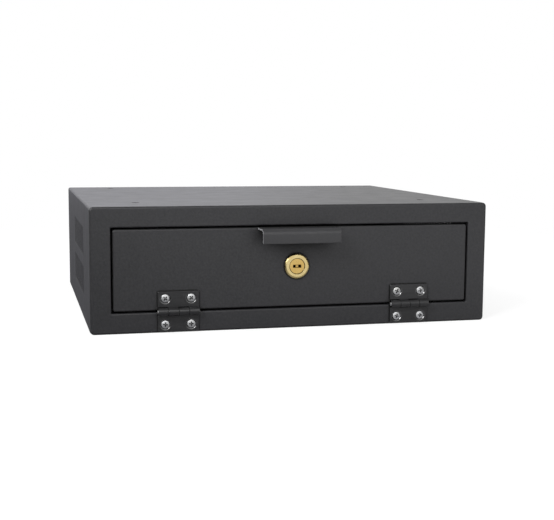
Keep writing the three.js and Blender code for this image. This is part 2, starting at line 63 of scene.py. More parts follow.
frame_low, frame_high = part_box("front_frame")
door_low, door_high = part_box("door_panel")
rear_low, rear_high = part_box("rear_panel")
front = frame_low.y
casing_half_x = frame_high.x
casing_half_z = frame_high.z / 2
casing_depth = rear_high.y - front
sheet = rear_high.y - rear_low.y
door_half_x = door_high.x
door_half_z = (door_high.z - door_low.z) / 2
door_depth = door_high.y - front
casing_size = (2 * casing_half_x, casing_depth, 2 * casing_half_z)
print("casing", [round(side / MM) for side in casing_size], "mm, sheet", round(sheet / MM, 2), "mm")

# %% [markdown]
# ## Camera
# The photograph was taken from the front left and a little above. The camera's place, its
# turn and its focal length were fitted to the straight edges of the casing and the door, so
# the render can be laid over the photograph. A long lens keeps the edges almost parallel.

# %% Place the camera
camera_place = Vector((-0.28341, -1.23253, 0.20101))
camera_turn = math.radians(14.116)
camera_drop = math.radians(6.868)
camera_roll = math.radians(0.339)
focal_pixels = 1053.23
image_width = 554
sensor_width = 36.0

lens = bpy.data.cameras.new("camera")
lens.sensor_width = sensor_width
lens.lens = focal_pixels * sensor_width / image_width
looking = Vector((
    math.sin(camera_turn) * math.cos(camera_drop),
    math.cos(camera_turn) * math.cos(camera_drop),
    -math.sin(camera_drop)))
level = looking.cross(Vector((0, 0, 1))).normalized()
upright = level.cross(looking)
rolled_level = level * math.cos(camera_roll) + upright * math.sin(camera_roll)
rolled_upright = upright * math.cos(camera_roll) - level * math.sin(camera_roll)
turned = Matrix((rolled_level, rolled_upright, -looking)).transposed()
camera = bpy.data.objects.new("camera", lens)
camera.matrix_world = Matrix.Translation(camera_place) @ turned.to_4x4()
scene.collection.objects.link(camera)
scene.camera = camera
print("lens", round(lens.lens, 2), "mm")

# %% [markdown]
# ## Helpers for making pieces
# Sheet metal is mostly one section carried round a rectangle, so rings of points are joined
# into skins. Holes are cut with closed cutters, and a piece is turned into plain mesh before
# it is handed to a body. Wide flat faces are given more weight in the normals, so that a
# narrow rounded edge catches light the way a real fold does.

# %% Make, cut and settle meshes
def add_object(name, shape):
    """Puts a bmesh in the scene as an object and frees it."""
    mesh = bpy.data.meshes.new(name)
    shape.to_mesh(mesh)
    shape.free()
    added = bpy.data.objects.new(name, mesh)
    scene.collection.objects.link(added)
    return added


def new_piece(name, shape):
    """Makes an object of a closed bmesh, with its faces turned outwards."""
    bmesh.ops.recalc_face_normals(shape, faces=shape.faces)
    return add_object(name, shape)


def move(piece, place):
    """Moves the mesh, so that the object itself stays at the origin."""
    piece.data.transform(Matrix.Translation(place))


def settle(piece):
    """Turns the piece's modifiers into plain mesh."""
    bpy.context.view_layer.update()
    depsgraph = bpy.context.evaluated_depsgraph_get()
    made = bpy.data.meshes.new_from_object(piece.evaluated_get(depsgraph))
    piece.modifiers.clear()
    old = piece.data
    piece.data = made
    bpy.data.meshes.remove(old)


def remove(piece):
    mesh = piece.data
    bpy.data.objects.remove(piece)
    bpy.data.meshes.remove(mesh)


def combine(piece, other, operation="DIFFERENCE", keep_finish=False):
    """Cuts, joins or trims a piece with another closed mesh, which is used up. The faces that
    the other leaves can keep its finish."""
    step = piece.modifiers.new("combine", "BOOLEAN")
    step.operation = operation
    step.solver = "EXACT"
    step.object = other
    if keep_finish:
        step.material_mode = "TRANSFER"
    settle(piece)
    remove(other)


def round_edges(piece, width, steps=2, angle=40):
    step = piece.modifiers.new("rounded edges", "BEVEL")
    step.width = width
    step.segments = steps
    step.limit_method = "ANGLE"
    step.angle_limit = math.radians(angle)
    settle(piece)


def shade(piece, angle=50, flat_weight=60):
    """Smooth faces, sharp where they meet at more than the angle, flats weighted."""
    mesh = piece.data
    mesh.shade_smooth()
    mesh.set_sharp_from_angle(angle=math.radians(angle))
    step = piece.modifiers.new("weighted", "WEIGHTED_NORMAL")
    step.keep_sharp = True
    step.weight = flat_weight
    settle(piece)


def finish_faces(piece, finish, chosen):
    """Adds a finish and gives it to the faces for which chosen is true."""
    piece.data.materials.append(finish)
    for face in piece.data.polygons:
        if chosen(face):
            face.material_index = len(piece.data.materials) - 1


def hand_over(piece, body, slot, finish, *nodes):
    """Gives a piece its finish, unless it has one, its body and the nodes it stands for."""
    if finish is not None:
        piece.data.materials.clear()
        piece.data.materials.append(finish)
    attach(piece, body)
    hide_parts(*nodes)
    print(piece.name, len(piece.data.polygons), "faces for", ", ".join(nodes))


# %% [markdown]
# ## Rings and skins
# A ring is a rounded rectangle, a stadium or a circle. A skin joins rings of equal count and
# is either closed on itself, as the casing's folded sheet is, or capped at its ends. Turned
# parts such as the lock are the same thing with circles about the lock's axis.

# %% Rings, skins and turned parts
def rounded_ring(half_x, half_z, radius, y, steps=6):
    """Rounded rectangle about the y axis at depth y."""
    ring = []
    for sign_x, sign_z, start in ((1, 1, 0), (-1, 1, 90), (-1, -1, 180), (1, -1, 270)):
        for i in range(steps + 1):
            angle = math.radians(start + 90 * i / steps)
            x = sign_x * (half_x - radius) + radius * math.cos(angle)
            z = sign_z * (half_z - radius) + radius * math.sin(angle)
            ring.append(Vector((x, y, z)))
    return ring


def skin(rings, closed=False):
    """Joins rings into one closed surface: round on itself, or capped at both ends."""
    shape = bmesh.new()
    rows = [[shape.verts.new(point) for point in ring] for ring in rings]
    pairs = list(zip(rows, rows[1:]))
    if closed:
        pairs.append((rows[-1], rows[0]))
    for near, far in pairs:
        for i, corner in enumerate(near):
            j = (i + 1) % len(near)
            shape.faces.new((corner, near[j], far[j], far[i]))
    if not closed:
        shape.faces.new(rows[0])
        shape.faces.new(list(reversed(rows[-1])))
    return shape


def turned_part(profile, steps=72):
    """Revolves (radius, depth) points about the y axis; the profile ends on the axis or
    closes on itself."""
    shape = bmesh.new()
    rows = []
    for radius, depth in profile:
        if radius == 0:
            rows.append([shape.verts.new((0, depth, 0))] * steps)
            continue
        circle = []
        for i in range(steps):
            angle = 2 * math.pi * i / steps
            circle.append(shape.verts.new((radius * math.cos(angle), depth, radius * math.sin(angle))))
        rows.append(circle)
    pairs = list(zip(rows, rows[1:]))
    if profile[0][0] > 0:
        pairs.append((rows[-1], rows[0]))
    for near, far in pairs:
        for i in range(steps):
            j = (i + 1) % steps
            corners = []
            for vert in (near[i], near[j], far[j], far[i]):
                if vert not in corners:
                    corners.append(vert)
            shape.faces.new(corners)
    return shape


def arc(middle, radius, start, end, steps):
    """Points of an arc in a plane, angles in degrees."""
    points = []
    for i in range(steps + 1):
        angle = math.radians(start + (end - start) * i / steps)
        points.append((middle[0] + radius * math.cos(angle), middle[1] + radius * math.sin(angle)))
    return points


def block(low, high):
    """A plain block, used only as a cutter or to join."""
    shape = bmesh.new()
    size = [high[i] - low[i] for i in range(3)]
    centre = Vector([(high[i] + low[i]) / 2 for i in range(3)])
    bmesh.ops.create_cube(shape, size=1, matrix=Matrix.Translation(centre) @ Matrix.Diagonal((*size, 1)))
    return shape


# %% [markdown]
# ## Rows of copies
# Slots, holes, screws and nuts repeat. One Geometry Nodes tree sets copies of a template on
# a lattice of columns and rows and can give each copy its own turn, as screws have after a
# hand has tightened them. The tree ends in real mesh with a material, because instances
# don't survive an export.

# %% Build the tree of rows
def rows_tree():
    tree = bpy.data.node_groups.new("copies_in_rows", "GeometryNodeTree")
    sockets = (
        ("Copy", "NodeSocketObject"), ("First Place", "NodeSocketVector"),
        ("Columns", "NodeSocketInt"), ("Column Step", "NodeSocketVector"),
        ("Rows", "NodeSocketInt"), ("Row Step", "NodeSocketVector"),
        ("Turn Spread", "NodeSocketFloat"), ("Seed", "NodeSocketInt"),
        ("Finish", "NodeSocketMaterial"))
    for name, kind in sockets:
        tree.interface.new_socket(name=name, in_out="INPUT", socket_type=kind)
    tree.interface.new_socket(name="Geometry", in_out="OUTPUT", socket_type="NodeSocketGeometry")
    given = tree.nodes.new("NodeGroupInput")
    result = tree.nodes.new("NodeGroupOutput")
    column = tree.nodes.new("GeometryNodeMeshLine")
    row = tree.nodes.new("GeometryNodeMeshLine")
    lattice = tree.nodes.new("GeometryNodeInstanceOnPoints")
    places = tree.nodes.new("GeometryNodeRealizeInstances")
    template = tree.nodes.new("GeometryNodeObjectInfo")
    turn = tree.nodes.new("FunctionNodeRandomValue")
    least = tree.nodes.new("ShaderNodeMath")
    about_y = tree.nodes.new("ShaderNodeCombineXYZ")
    copies = tree.nodes.new("GeometryNodeInstanceOnPoints")
    solid = tree.nodes.new("GeometryNodeRealizeInstances")
    finish = tree.nodes.new("GeometryNodeSetMaterial")
    column.mode = "OFFSET"
    row.mode = "OFFSET"
    least.operation = "MULTIPLY"
    least.inputs[1].default_value = -1
    template.inputs["As Instance"].default_value = True
    joins = (
        (given.outputs["Columns"], column.inputs["Count"]),
        (given.outputs["First Place"], column.inputs["Start Location"]),
        (given.outputs["Column Step"], column.inputs["Offset"]),
        (given.outputs["Rows"], row.inputs["Count"]),
        (given.outputs["Row Step"], row.inputs["Offset"]),
        (row.outputs["Mesh"], lattice.inputs["Points"]),
        (column.outputs["Mesh"], lattice.inputs["Instance"]),
        (lattice.outputs["Instances"], places.inputs["Geometry"]),
        (given.outputs["Copy"], template.inputs["Object"]),
        (given.outputs["Turn Spread"], least.inputs[0]),
        (least.outputs["Value"], turn.inputs[2]),
        (given.outputs["Turn Spread"], turn.inputs[3]),
        (given.outputs["Seed"], turn.inputs["Seed"]),
        (turn.outputs[1], about_y.inputs["Y"]),
        (places.outputs["Geometry"], copies.inputs["Points"]),
        (template.outputs["Geometry"], copies.inputs["Instance"]),
        (about_y.outputs["Vector"], copies.inputs["Rotation"]),
        (copies.outputs["Instances"], solid.inputs["Geometry"]),
        (solid.outputs["Geometry"], finish.inputs["Geometry"]),
        (given.outputs["Finish"], finish.inputs["Material"]),
        (finish.outputs["Geometry"], result.inputs["Geometry"]))
    for source, target in joins:
        tree.links.new(source, target)
    return tree


def in_rows(name, template, **inputs):
    """A plain mesh object with copies of the template; the template stays."""
    piece = bpy.data.objects.new(name, bpy.data.meshes.new(name))
    scene.collection.objects.link(piece)
    step = piece.modifiers.new("rows", "NODES")
    step.node_group = copies_in_rows
    inputs["copy"] = template
    for item in copies_in_rows.interface.items_tree:
        key = item.name.lower().replace(" ", "_")
        if item.in_out == "INPUT" and key in inputs:
            step[item.identifier] = inputs[key]
    settle(piece)
    return piece


copies_in_rows = rows_tree()
print("tree", copies_in_rows.name, "with", len(copies_in_rows.nodes), "nodes")

# %% [markdown]
# ## Finishes
# Every finish reads Object coordinates, so its grain has a real size and stays put when the
# piece moves. A bare material is a Principled shader, and each finish then adds its own
# colour variation, uneven gloss and fine relief.

# %% Node helpers
noise_low = 0.3
noise_high = 0.7
nook_samples = 6


def new_finish(name, metallic=0.0):
    """A node material, its tree and its shader."""
    finish = bpy.data.materials.new(name)
    finish.use_nodes = True
    shader = finish.node_tree.nodes["Principled BSDF"]
    shader.inputs["Metallic"].default_value = metallic
    return finish, finish.node_tree, shader


def dress(tree, shader, colour, gloss, normal=None):
    """Joins colour, roughness and relief to the shader."""
    tree.links.new(colour, shader.inputs["Base Color"])
    tree.links.new(gloss, shader.inputs["Roughness"])
    if normal is not None:
        tree.links.new(normal, shader.inputs["Normal"])


def add_node(tree, kind, **inputs):
    """A new node with its inputs set, where an underscore stands for a space."""
    node = tree.nodes.new(kind)
    for name, value in inputs.items():
        node.inputs[name.replace("_", " ").title()].default_value = value
    return node


def object_place(tree, stretch=(1, 1, 1), centre=(0, 0, 0)):
    """Object coordinates about a centre, stretched along the axes."""
    coords = tree.nodes.new("ShaderNodeTexCoord")
    mapping = add_node(tree, "ShaderNodeMapping", scale=stretch)
    mapping.inputs["Location"].default_value = [-c * s for c, s in zip(centre, stretch)]
    tree.links.new(coords.outputs["Object"], mapping.inputs["Vector"])
    return mapping.outputs["Vector"]


def grain(tree, place, scale, detail=2.0, roughness=0.5):
    noise = add_node(tree, "ShaderNodeTexNoise", scale=scale, detail=detail, roughness=roughness)
    tree.links.new(place, noise.inputs["Vector"])
    return noise.outputs["Fac"]


def map_range(tree, value, start, end, low=0.0, high=1.0, interpolation="LINEAR"):
    """Maps a value from start..end to low..high."""
    ranged = add_node(tree, "ShaderNodeMapRange", from_min=start, from_max=end, to_min=low, to_max=high)
    ranged.interpolation_type = interpolation
    tree.links.new(value, ranged.inputs["Value"])
    return ranged.outputs["Result"]


def between(tree, noise, low, high):
    """Maps the middle range of a noise, where most of it lies, to low..high."""
    return map_range(tree, noise, noise_low, noise_high, low, high)


def distance(tree, place):
    length = tree.nodes.new("ShaderNodeVectorMath")
    length.operation = "LENGTH"
    tree.links.new(place, length.inputs[0])
    return length.outputs["Value"]


def blend_colours(tree, factor, one, other):
    mix = tree.nodes.new("ShaderNodeMix")
    mix.data_type = "RGBA"
    tree.links.new(factor, mix.inputs["Factor"])
    for socket, value in (("A", one), ("B", other)):
        target = [s for s in mix.inputs if s.name == socket and s.type == "RGBA"][0]
        if isinstance(value, bpy.types.NodeSocket):
            tree.links.new(value, target)
        else:
            target.default_value = (*value, 1)
    return [s for s in mix.outputs if s.type == "RGBA"][0]


def relief(tree, height, depth, strength, under=None):
    bump = add_node(tree, "ShaderNodeBump", distance=depth, strength=strength)
    tree.links.new(height, bump.inputs["Height"])
    if under is not None:
        tree.links.new(under, bump.inputs["Normal"])
    return bump.outputs["Normal"]


# Mask for painted shade in nooks and for painted cast shadows.
def openness(tree, reach, local=True, closed=0.55, clear=0.97):
    """0 in nooks, where faces stand closer together than the reach, and 1 in the open. Local
    looks at the piece alone."""
    nook = add_node(tree, "ShaderNodeAmbientOcclusion", distance=reach)
    nook.samples = nook_samples
    nook.only_local = local
    return map_range(tree, nook.outputs["AO"], closed, clear)


def duller_in_nooks(tree, unshaded_share, gloss, nook_roughness=0.9):
    """The roughness goes up in nooks, where shade is painted, which dulls the reflection there."""
    mix = add_node(tree, "ShaderNodeMix", a=nook_roughness)
    tree.links.new(unshaded_share, mix.inputs["Factor"])
    tree.links.new(gloss, mix.inputs["B"])
    return mix.outputs["Result"]


# %% [markdown]
# ### Powder coat
# The coat is a satin black plastic skin baked on the steel. Seen from close by it has a fine
# orange peel and a still finer sand grain, and its gloss drifts a little from place to
# place. At a grazing angle it turns pale, which is why the top of the box looks grey. Shade
# is painted into the coat: near black in the seams round the door and the hinge leaves, and
# a painted shadow that darkens and dulls the door close under the pull and round the lock.
# The pull's coat is painted a little paler than the door's, as painted light on the lip,
# and its sheared ends are painted pale, partly a rubbed coat and partly a painted highlight.

# %% Powder coat and rubbed coat
nook_shade_black = (0.002, 0.002, 0.002)
soft_shade_black = (0.003, 0.003, 0.003)
sand_tone = (0.034, 0.034, 0.036)
coat_tones = ((0.0120, 0.0120, 0.0142), (0.0156, 0.0155, 0.0178))
pull_paler_tones = ((0.0235, 0.0235, 0.0257), (0.0295, 0.0294, 0.0317))
end_highlight_tones = ((0.10, 0.10, 0.11), (0.52, 0.52, 0.54))
peel_depth = 0.18 * MM
sand_depth = 0.04 * MM
seam_shade_reach = 2 * MM
pull_shadow_reach = 30 * MM


def make_powder_coat(name, deep, pale, cast_shade_reach=0):
    """The coat in two tones. The cast shade reach, if given, is how near a piece has to stand to paint a
    shadow on the coat.
    """
    finish, tree, shader = new_finish(name)
    place = object_place(tree)
    drift = between(tree, grain(tree, place, 11, 3.0), 0.0, 1.0)
    base = blend_colours(tree, drift, deep, pale)
    speck = between(tree, grain(tree, place, 420, 4.0, 0.7), 0.0, 0.55)
    coat = blend_colours(tree, speck, base, sand_tone)
    satin = between(tree, grain(tree, place, 38, 4.0, 0.6), 0.42, 0.47)
    # Painted shadow: within the reach of a piece, as under the pull, the colour darkens and the gloss dulls.
    if cast_shade_reach:
        far_unshaded_share = openness(tree, cast_shade_reach, local=False, clear=0.84)
        coat = blend_colours(tree, far_unshaded_share, soft_shade_black, coat)
        satin = duller_in_nooks(tree, far_unshaded_share, satin)
    # Painted shade: the colour goes near black and the gloss dulls in seams and nooks.
    unshaded_share = openness(tree, seam_shade_reach, local=False)
    colour = blend_colours(tree, unshaded_share, nook_shade_black, coat)
    gloss = duller_in_nooks(tree, unshaded_share, satin)
    peel = relief(tree, grain(tree, place, 330, 2.0), peel_depth, 0.6)
    sand = relief(tree, grain(tree, place, 1500, 3.0, 0.6), sand_depth, 0.6, peel)
    dress(tree, shader, colour, gloss, sand)
    return finish


def make_pale_end_coat():
    finish, tree, shader = new_finish("rubbed_coat")
    place = object_place(tree)
    # Painted highlight on the cut ends, with an uneven rubbed tone.
    patchy_highlight = between(tree, grain(tree, place, 260, 3.0), 0.35, 1.0)
    colour = blend_colours(tree, patchy_highlight, *end_highlight_tones)
    gloss = between(tree, grain(tree, place, 900, 2.0), 0.30, 0.42)
    dress(tree, shader, colour, gloss)
    return finish


powder_coat = make_powder_coat("powder_coat", *coat_tones)
# The door's and the pull's coats carry the painted shadow under the pull.
door_coat = make_powder_coat("door_coat", *coat_tones, pull_shadow_reach)
# Painted light: the pull's coat is paler than the door's, so its lip reads brighter.
handled_coat = make_powder_coat("handled_coat", *pull_paler_tones, pull_shadow_reach)
rubbed_coat = make_pale_end_coat()
print("coats", powder_coat.name, door_coat.name, handled_coat.name, rubbed_coat.name)

# %% [markdown]
# ### Blackened hinge steel
# The hinge leaves are cold-rolled strip in a thin black finish. The rolling lines still show
# through as faint streaks along the hinge, and the finish is a little glossier than the
# powder coat. Shade is painted near black into the seams where a leaf meets the sheet. The
# sheared edges are painted near black with almost no reflection, as painted shade, so they
# outline the leaf. The countersinks are glossy and painted darker than the leaf, as painted
# shade, so each shows as a black ring with one sharp glint of the key lamp.

# %% Hinge black, sheared edge shade and sink shade
strip_tones = ((0.012, 0.012, 0.013), (0.021, 0.021, 0.022))
edge_shade_tones = (nook_shade_black, (0.006, 0.006, 0.006))
sink_shade_tones = (soft_shade_black, (0.009, 0.009, 0.010))
rolling_depth = 0.03 * MM
leaf_seam_shade_reach = 1.5 * MM


def make_hinge_black():
    finish, tree, shader = new_finish("hinge_black")
    streaks = object_place(tree, (60, 900, 900))
    place = object_place(tree)
    lines = between(tree, grain(tree, streaks, 1, 3.0), 0.0, 1.0)
    strip = blend_colours(tree, lines, *strip_tones)
    # Painted shade: the leaf goes black in the nooks where it meets the sheet.
    unshaded_share = openness(tree, leaf_seam_shade_reach, local=False)
    colour = blend_colours(tree, unshaded_share, nook_shade_black, strip)
    satin = between(tree, grain(tree, place, 220, 3.0), 0.28, 0.38)
    gloss = duller_in_nooks(tree, unshaded_share, satin)
    streaked = relief(tree, grain(tree, streaks, 1, 4.0), rolling_depth, 0.4)
    dress(tree, shader, colour, gloss, streaked)
    return finish


def make_cut_face_shade(name, tones, tone_scale, roughness, gloss_grain, shine):
    """Painted shade on a cut face: near black. Shine is a socket of the shader and its value."""
    finish, tree, shader = new_finish(name)
    socket, value = shine
    shader.inputs[socket].default_value = value
    place = object_place(tree)
    uneven = between(tree, grain(tree, place, tone_scale, 3.0), 0.0, 1.0)
    gloss = between(tree, grain(tree, place, *gloss_grain), *roughness)
    dress(tree, shader, blend_colours(tree, uneven, *tones), gloss)
    return finish


hinge_black = make_hinge_black()
# Painted shade: the cut edges are near black and barely reflect, so they outline the leaf.
sheared_black = make_cut_face_shade(
    "sheared_black", edge_shade_tones, 800, (0.60, 0.80), (500, 3.0), ("Specular IOR Level", 0.02))
# Painted shade: the countersinks are darker than the leaf, so each reads as a black ring.
sink_black = make_cut_face_shade(
    "sink_black", sink_shade_tones, 700, (0.16, 0.24), (900, 2.0), ("IOR", 2.3))
print("blacks", hinge_black.name, sheared_black.name, sink_black.name)

# %% [markdown]
# ### Zinc plate
# Screws, nuts, pins and the cam are bright zinc: a clear metal with a faint bluish and
# yellowish cast from the passivation, and slightly cloudy gloss from the barrel that the
# screws were plated in. Shade is painted dark into the cross recesses and other nooks.

# %% Zinc plate
plate_tones = ((0.57, 0.57, 0.55), (0.64, 0.65, 0.67))
recess_shade = (0.02, 0.02, 0.02)
recess_shade_reach = 1.6 * MM
pit_depth = 0.01 * MM


def make_zinc():
    finish, tree, shader = new_finish("zinc_steel", 1.0)
    place = object_place(tree)
    cast = between(tree, grain(tree, place, 160, 3.0), 0.0, 1.0)
    plate = blend_colours(tree, cast, *plate_tones)
    # Painted shade: the plate goes dark in recesses and nooks.
    colour = blend_colours(tree, openness(tree, recess_shade_reach), recess_shade, plate)
    gloss = between(tree, grain(tree, place, 900, 3.0), 0.38, 0.52)
    pits = relief(tree, grain(tree, place, 2600, 2.0), pit_depth, 0.35)
    dress(tree, shader, colour, gloss, pits)
    return finish


zinc_steel = make_zinc()
print("zinc", zinc_steel.name)

# %% [markdown]
# ### Turned brass
# The lock's bezel and plug are turned from yellow brass and polished. The lathe leaves very
# fine rings about the lock's axis, so the relief is a wave of rings centred there. A slow
# noise mixes in a warmer tone, as handled brass has. The plug is redder than the bezel. Shade
# is painted dark into the joint between them, into the keyway and its nooks, and round the
# bezel's rim.

# %% Turned brass
lock_low, lock_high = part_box("lock_housing")
lock_middle = Vector((0, front, (lock_low.z + lock_high.z) / 2))
bezel_radius = (lock_high.x - lock_low.x) / 2
plug_radius = 8 * MM
rim_tones = ((0.76, 0.62, 0.31), (0.71, 0.55, 0.24))
plug_tones = ((0.70, 0.49, 0.17), (0.65, 0.43, 0.13))
joint_shade = (0.075, 0.048, 0.016)
keyway_shade = (0.010, 0.005, 0.002)
keyway_shade_reach = 2 * MM
lathe_depth = 0.01 * MM


def by_radius(tree, stops):
    """A value that changes with the distance from the lock's axis, as (radius, value) stops."""
    across = object_place(tree, (1 / bezel_radius, 0, 1 / bezel_radius), lock_middle)
    ramp = tree.nodes.new("ShaderNodeValToRGB")
    steps = ramp.color_ramp.elements
    for i, (radius, value) in enumerate(stops):
        step = steps[i] if i < 2 else steps.new(1.0)
        step.position = radius / bezel_radius
        step.color = (value, value, value, 1)
    tree.links.new(distance(tree, across), ramp.inputs["Fac"])
    return ramp.outputs["Color"]


def make_brass():
    finish, tree, shader = new_finish("yellow_brass", 1.0)
    place = object_place(tree, centre=lock_middle)
    warm = between(tree, grain(tree, place, 130, 3.0), 0.0, 1.0)
    rim_brass = blend_colours(tree, warm, *rim_tones)
    plug_brass = blend_colours(tree, warm, *plug_tones)
    line = 0.1 * MM
    outside = by_radius(tree, ((plug_radius, 0.0), (plug_radius + line, 1.0)))
    polished = blend_colours(tree, outside, plug_brass, rim_brass)
    joint = 0.35 * MM
    rim_shade = 0.5 * MM
    # Painted shade: dark rings in the joint round the plug and at the bezel's rim.
    unshaded_face = by_radius(tree, (
        (plug_radius - joint, 1.0), (plug_radius - line, 0.0), (plug_radius + 2 * line, 0.0),
        (plug_radius + joint + line, 1.0), (bezel_radius - rim_shade, 1.0), (bezel_radius, 0.0)))
    brass = blend_colours(tree, unshaded_face, joint_shade, polished)
    # Painted shade in the keyway and the other nooks.
    colour = blend_colours(tree, openness(tree, keyway_shade_reach), keyway_shade, brass)
    gloss = between(tree, grain(tree, place, 420, 3.0), 0.22, 0.34)
    rings = add_node(tree, "ShaderNodeTexWave", scale=900, distortion=1.2, detail=2.0)
    rings.wave_type = "RINGS"
    rings.rings_direction = "Y"
    tree.links.new(place, rings.inputs["Vector"])
    lathe = relief(tree, rings.outputs["Fac"], lathe_depth, 0.25)
    dress(tree, shader, colour, gloss, lathe)
    return finish


yellow_brass = make_brass()
print("brass", yellow_brass.name, "for a bezel", round(2 * bezel_radius / MM, 1), "mm wide")

# %% [markdown]
# ## Cutters with rounded mouths
# A punched hole in coated sheet has no knife edge: the coat rounds it on both faces. So each
# cutter is a skin that widens towards both faces of the sheet, and the cut then leaves that
# rounding behind. The same function serves the slots, the round holes and the lock's hole.

# %% Cutters
def stadium(half_width, half_height, grow, steps=6):
    """Outline of a slot in (u, v), grown outwards by an amount."""
    radius = half_width + grow
    straight = half_height - half_width
    top = arc((0, straight), radius, 0, 180, steps)
    bottom = arc((0, -straight), radius, 180, 360, steps)
    return top + bottom


def circle_outline(radius, grow, steps=40):
    return arc((0, 0), radius + grow, 0, 360 - 360 / steps, steps - 1)


def mouth_cutter(name, outline, thickness, mouth, axis):
    """Closed cutter about the middle of a sheet that widens by mouth at both faces.
    axis says which way the sheet's thickness runs."""
    inner = 0.35 * mouth
    slope = (mouth - inner) / inner
    beyond = 0.4 * MM
    levels = [
        (-thickness / 2 - beyond, inner + (inner + beyond) * slope),
        (-thickness / 2 + inner, inner),
        (-thickness / 2 + mouth, 0),
        (thickness / 2 - mouth, 0),
        (thickness / 2 - inner, inner),
        (thickness / 2 + beyond, inner + (inner + beyond) * slope)]
    rings = []
    for depth, grow in levels:
        ring = []
        for u, v in outline(grow):
            point = {"x": (depth, u, v), "y": (u, depth, v), "z": (u, v, depth)}[axis]
            ring.append(Vector(point))
        rings.append(ring)
    return new_piece(name, skin(rings))


# %% [markdown]
# ## Casing
# The real casing is welded from sheet and coated as one, so no seam shows outside: top,
# bottom, sides and the front frame read as one skin. It is drawn as one section of the
# sheet, from the turned-in edge of the opening round the folds to the rear, and back along
# the inside, carried round the rectangle. That keeps the true wall thickness everywhere. The
# long folds are tight, while the corners of the frame are welded and ground to a rounder shape.

# %% Casing skin
frame_border = 21 * MM
return_depth = 14 * MM
opening_fold = 1.6 * MM
opening_corner = 0.7 * MM
front_fold = 2.5 * MM
long_fold = 2.4 * MM
ground_corner = 4 * MM
ground_length = 9 * MM
ground_steps = 5
edge_round = 0.35 * MM


def casing_corner(inset, depth):
    """Corner radius of the casing's ring at an inset from its outside and a depth."""
    if inset > frame_border / 2:
        return opening_corner + frame_border - inset
    share = min(1, max(0, (depth - front_fold) / ground_length))
    eased = share * share * (3 - 2 * share)
    return max(ground_corner + (long_fold - ground_corner) * eased - inset, edge_round)


def casing_section():
    """The folded sheet as (inset, depth) points, outside first."""
    fold_in = frame_border - opening_fold
    inner = frame_border - sheet
    inner_fold = front_fold - sheet
    ground = [front_fold + ground_length * i / ground_steps for i in range(1, ground_steps + 1)]
    points = [(frame_border, return_depth - edge_round)]
    points += arc((fold_in, opening_fold), opening_fold, 0, -90, 6)
    points += arc((front_fold, front_fold), front_fold, -90, -180, 8)
    points += [(0, depth) for depth in ground]
    points += [(0, casing_depth - edge_round), (edge_round, casing_depth)]
    points += [(sheet - edge_round, casing_depth), (sheet, casing_depth - edge_round)]
    points += [(sheet, depth) for depth in reversed(ground)]
    points += arc((front_fold, front_fold), inner_fold, -180, -90, 3)
    points += [(inner, sheet), (inner, return_depth - edge_round)]
    points += [(inner + edge_round, return_depth), (frame_border - edge_round, return_depth)]
    return points


def carried_round(section, half_x, half_z, corner):
    return [
        rounded_ring(half_x - inset, half_z - inset, corner(inset, depth), depth)
        for inset, depth in section]


casing = new_piece(
    "casing_shell",
    skin(carried_round(casing_section(), casing_half_x, casing_half_z, casing_corner), closed=True))
move(casing, (0, front, casing_half_z))
print("casing skin", len(casing.data.vertices), "points")

# %% [markdown]
# ## Vents, mounting holes and screw holes
# Each side has two fields of upright slots, and the top has four holes for the wood screws
# that hold the box under a desk. They repeat at a fixed pitch, so the tree of rows lays out
# the cutters from one template each.

# %% Cut the vents
slot_width = 4 * MM
slot_height = 31 * MM
slot_pitch = 8 * MM
slots_in_field = 19
field_from_front = 91 * MM
field_length = 148 * MM
field_middle = front + field_from_front + field_length / 2
field_spacing = 42.5 * MM
cut_mouth = 0.45 * MM

slot_cutter = mouth_cutter(
    "slot_cutter", lambda grow: stadium(slot_width / 2, slot_height / 2, grow), sheet, cut_mouth, "x")
first_slot = field_middle - (slots_in_field - 1) / 2 * slot_pitch
for side in (-1, 1):
    vents = in_rows(
        "vent_cutters", slot_cutter,
        first_place=(side * (casing_half_x - sheet / 2), first_slot, casing_half_z - field_spacing / 2),
        columns=slots_in_field, column_step=(0, slot_pitch, 0),
        rows=2, row_step=(0, 0, field_spacing))
    combine(casing, vents)
remove(slot_cutter)
print("vents", 2 * slots_in_field, "slots on each side")

# %% Cut the mounting holes
mount_hole = 8 * MM
mount_from_side = 52.5 * MM
mount_from_front = 60 * MM
mount_from_rear = 31 * MM
hole_cutter = mouth_cutter(
    "hole_cutter", lambda grow: circle_outline(mount_hole / 2, grow), sheet, cut_mouth, "z")
mount_x = casing_half_x - mount_from_side
mounts = in_rows(
    "mount_cutters", hole_cutter,
    first_place=(-mount_x, front + mount_from_front, 2 * casing_half_z - sheet / 2),
    columns=2, column_step=(2 * mount_x, 0, 0),
    rows=2, row_step=(0, casing_depth - mount_from_front - mount_from_rear, 0))
combine(casing, mounts)
remove(hole_cutter)
print("mounting holes", round(2 * mount_x / MM), "mm apart across")


# %% Cut the screw holes and hand the casing over
def middle_of(node):
    low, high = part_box(node)
    return (low + high) / 2


pin_middle = middle_of("hinge_pin_right")
hinge_x = pin_middle.x
pin_y = pin_middle.y
pin_z = pin_middle.z
screw_spacing = middle_of("screw_door_right_b").x - middle_of("screw_door_right_a").x
screw_from_pin = middle_of("screw_door_right_a").z - pin_z
screw_hole = 5.2 * MM


def screw_places(z, y):
    """Inputs of the tree of rows for the four screws on one side of both hinges."""
    return {
        "first_place": (-hinge_x - screw_spacing / 2, y, z),
        "columns": 2, "column_step": (screw_spacing, 0, 0),
        "rows": 2, "row_step": (2 * hinge_x, 0, 0)}


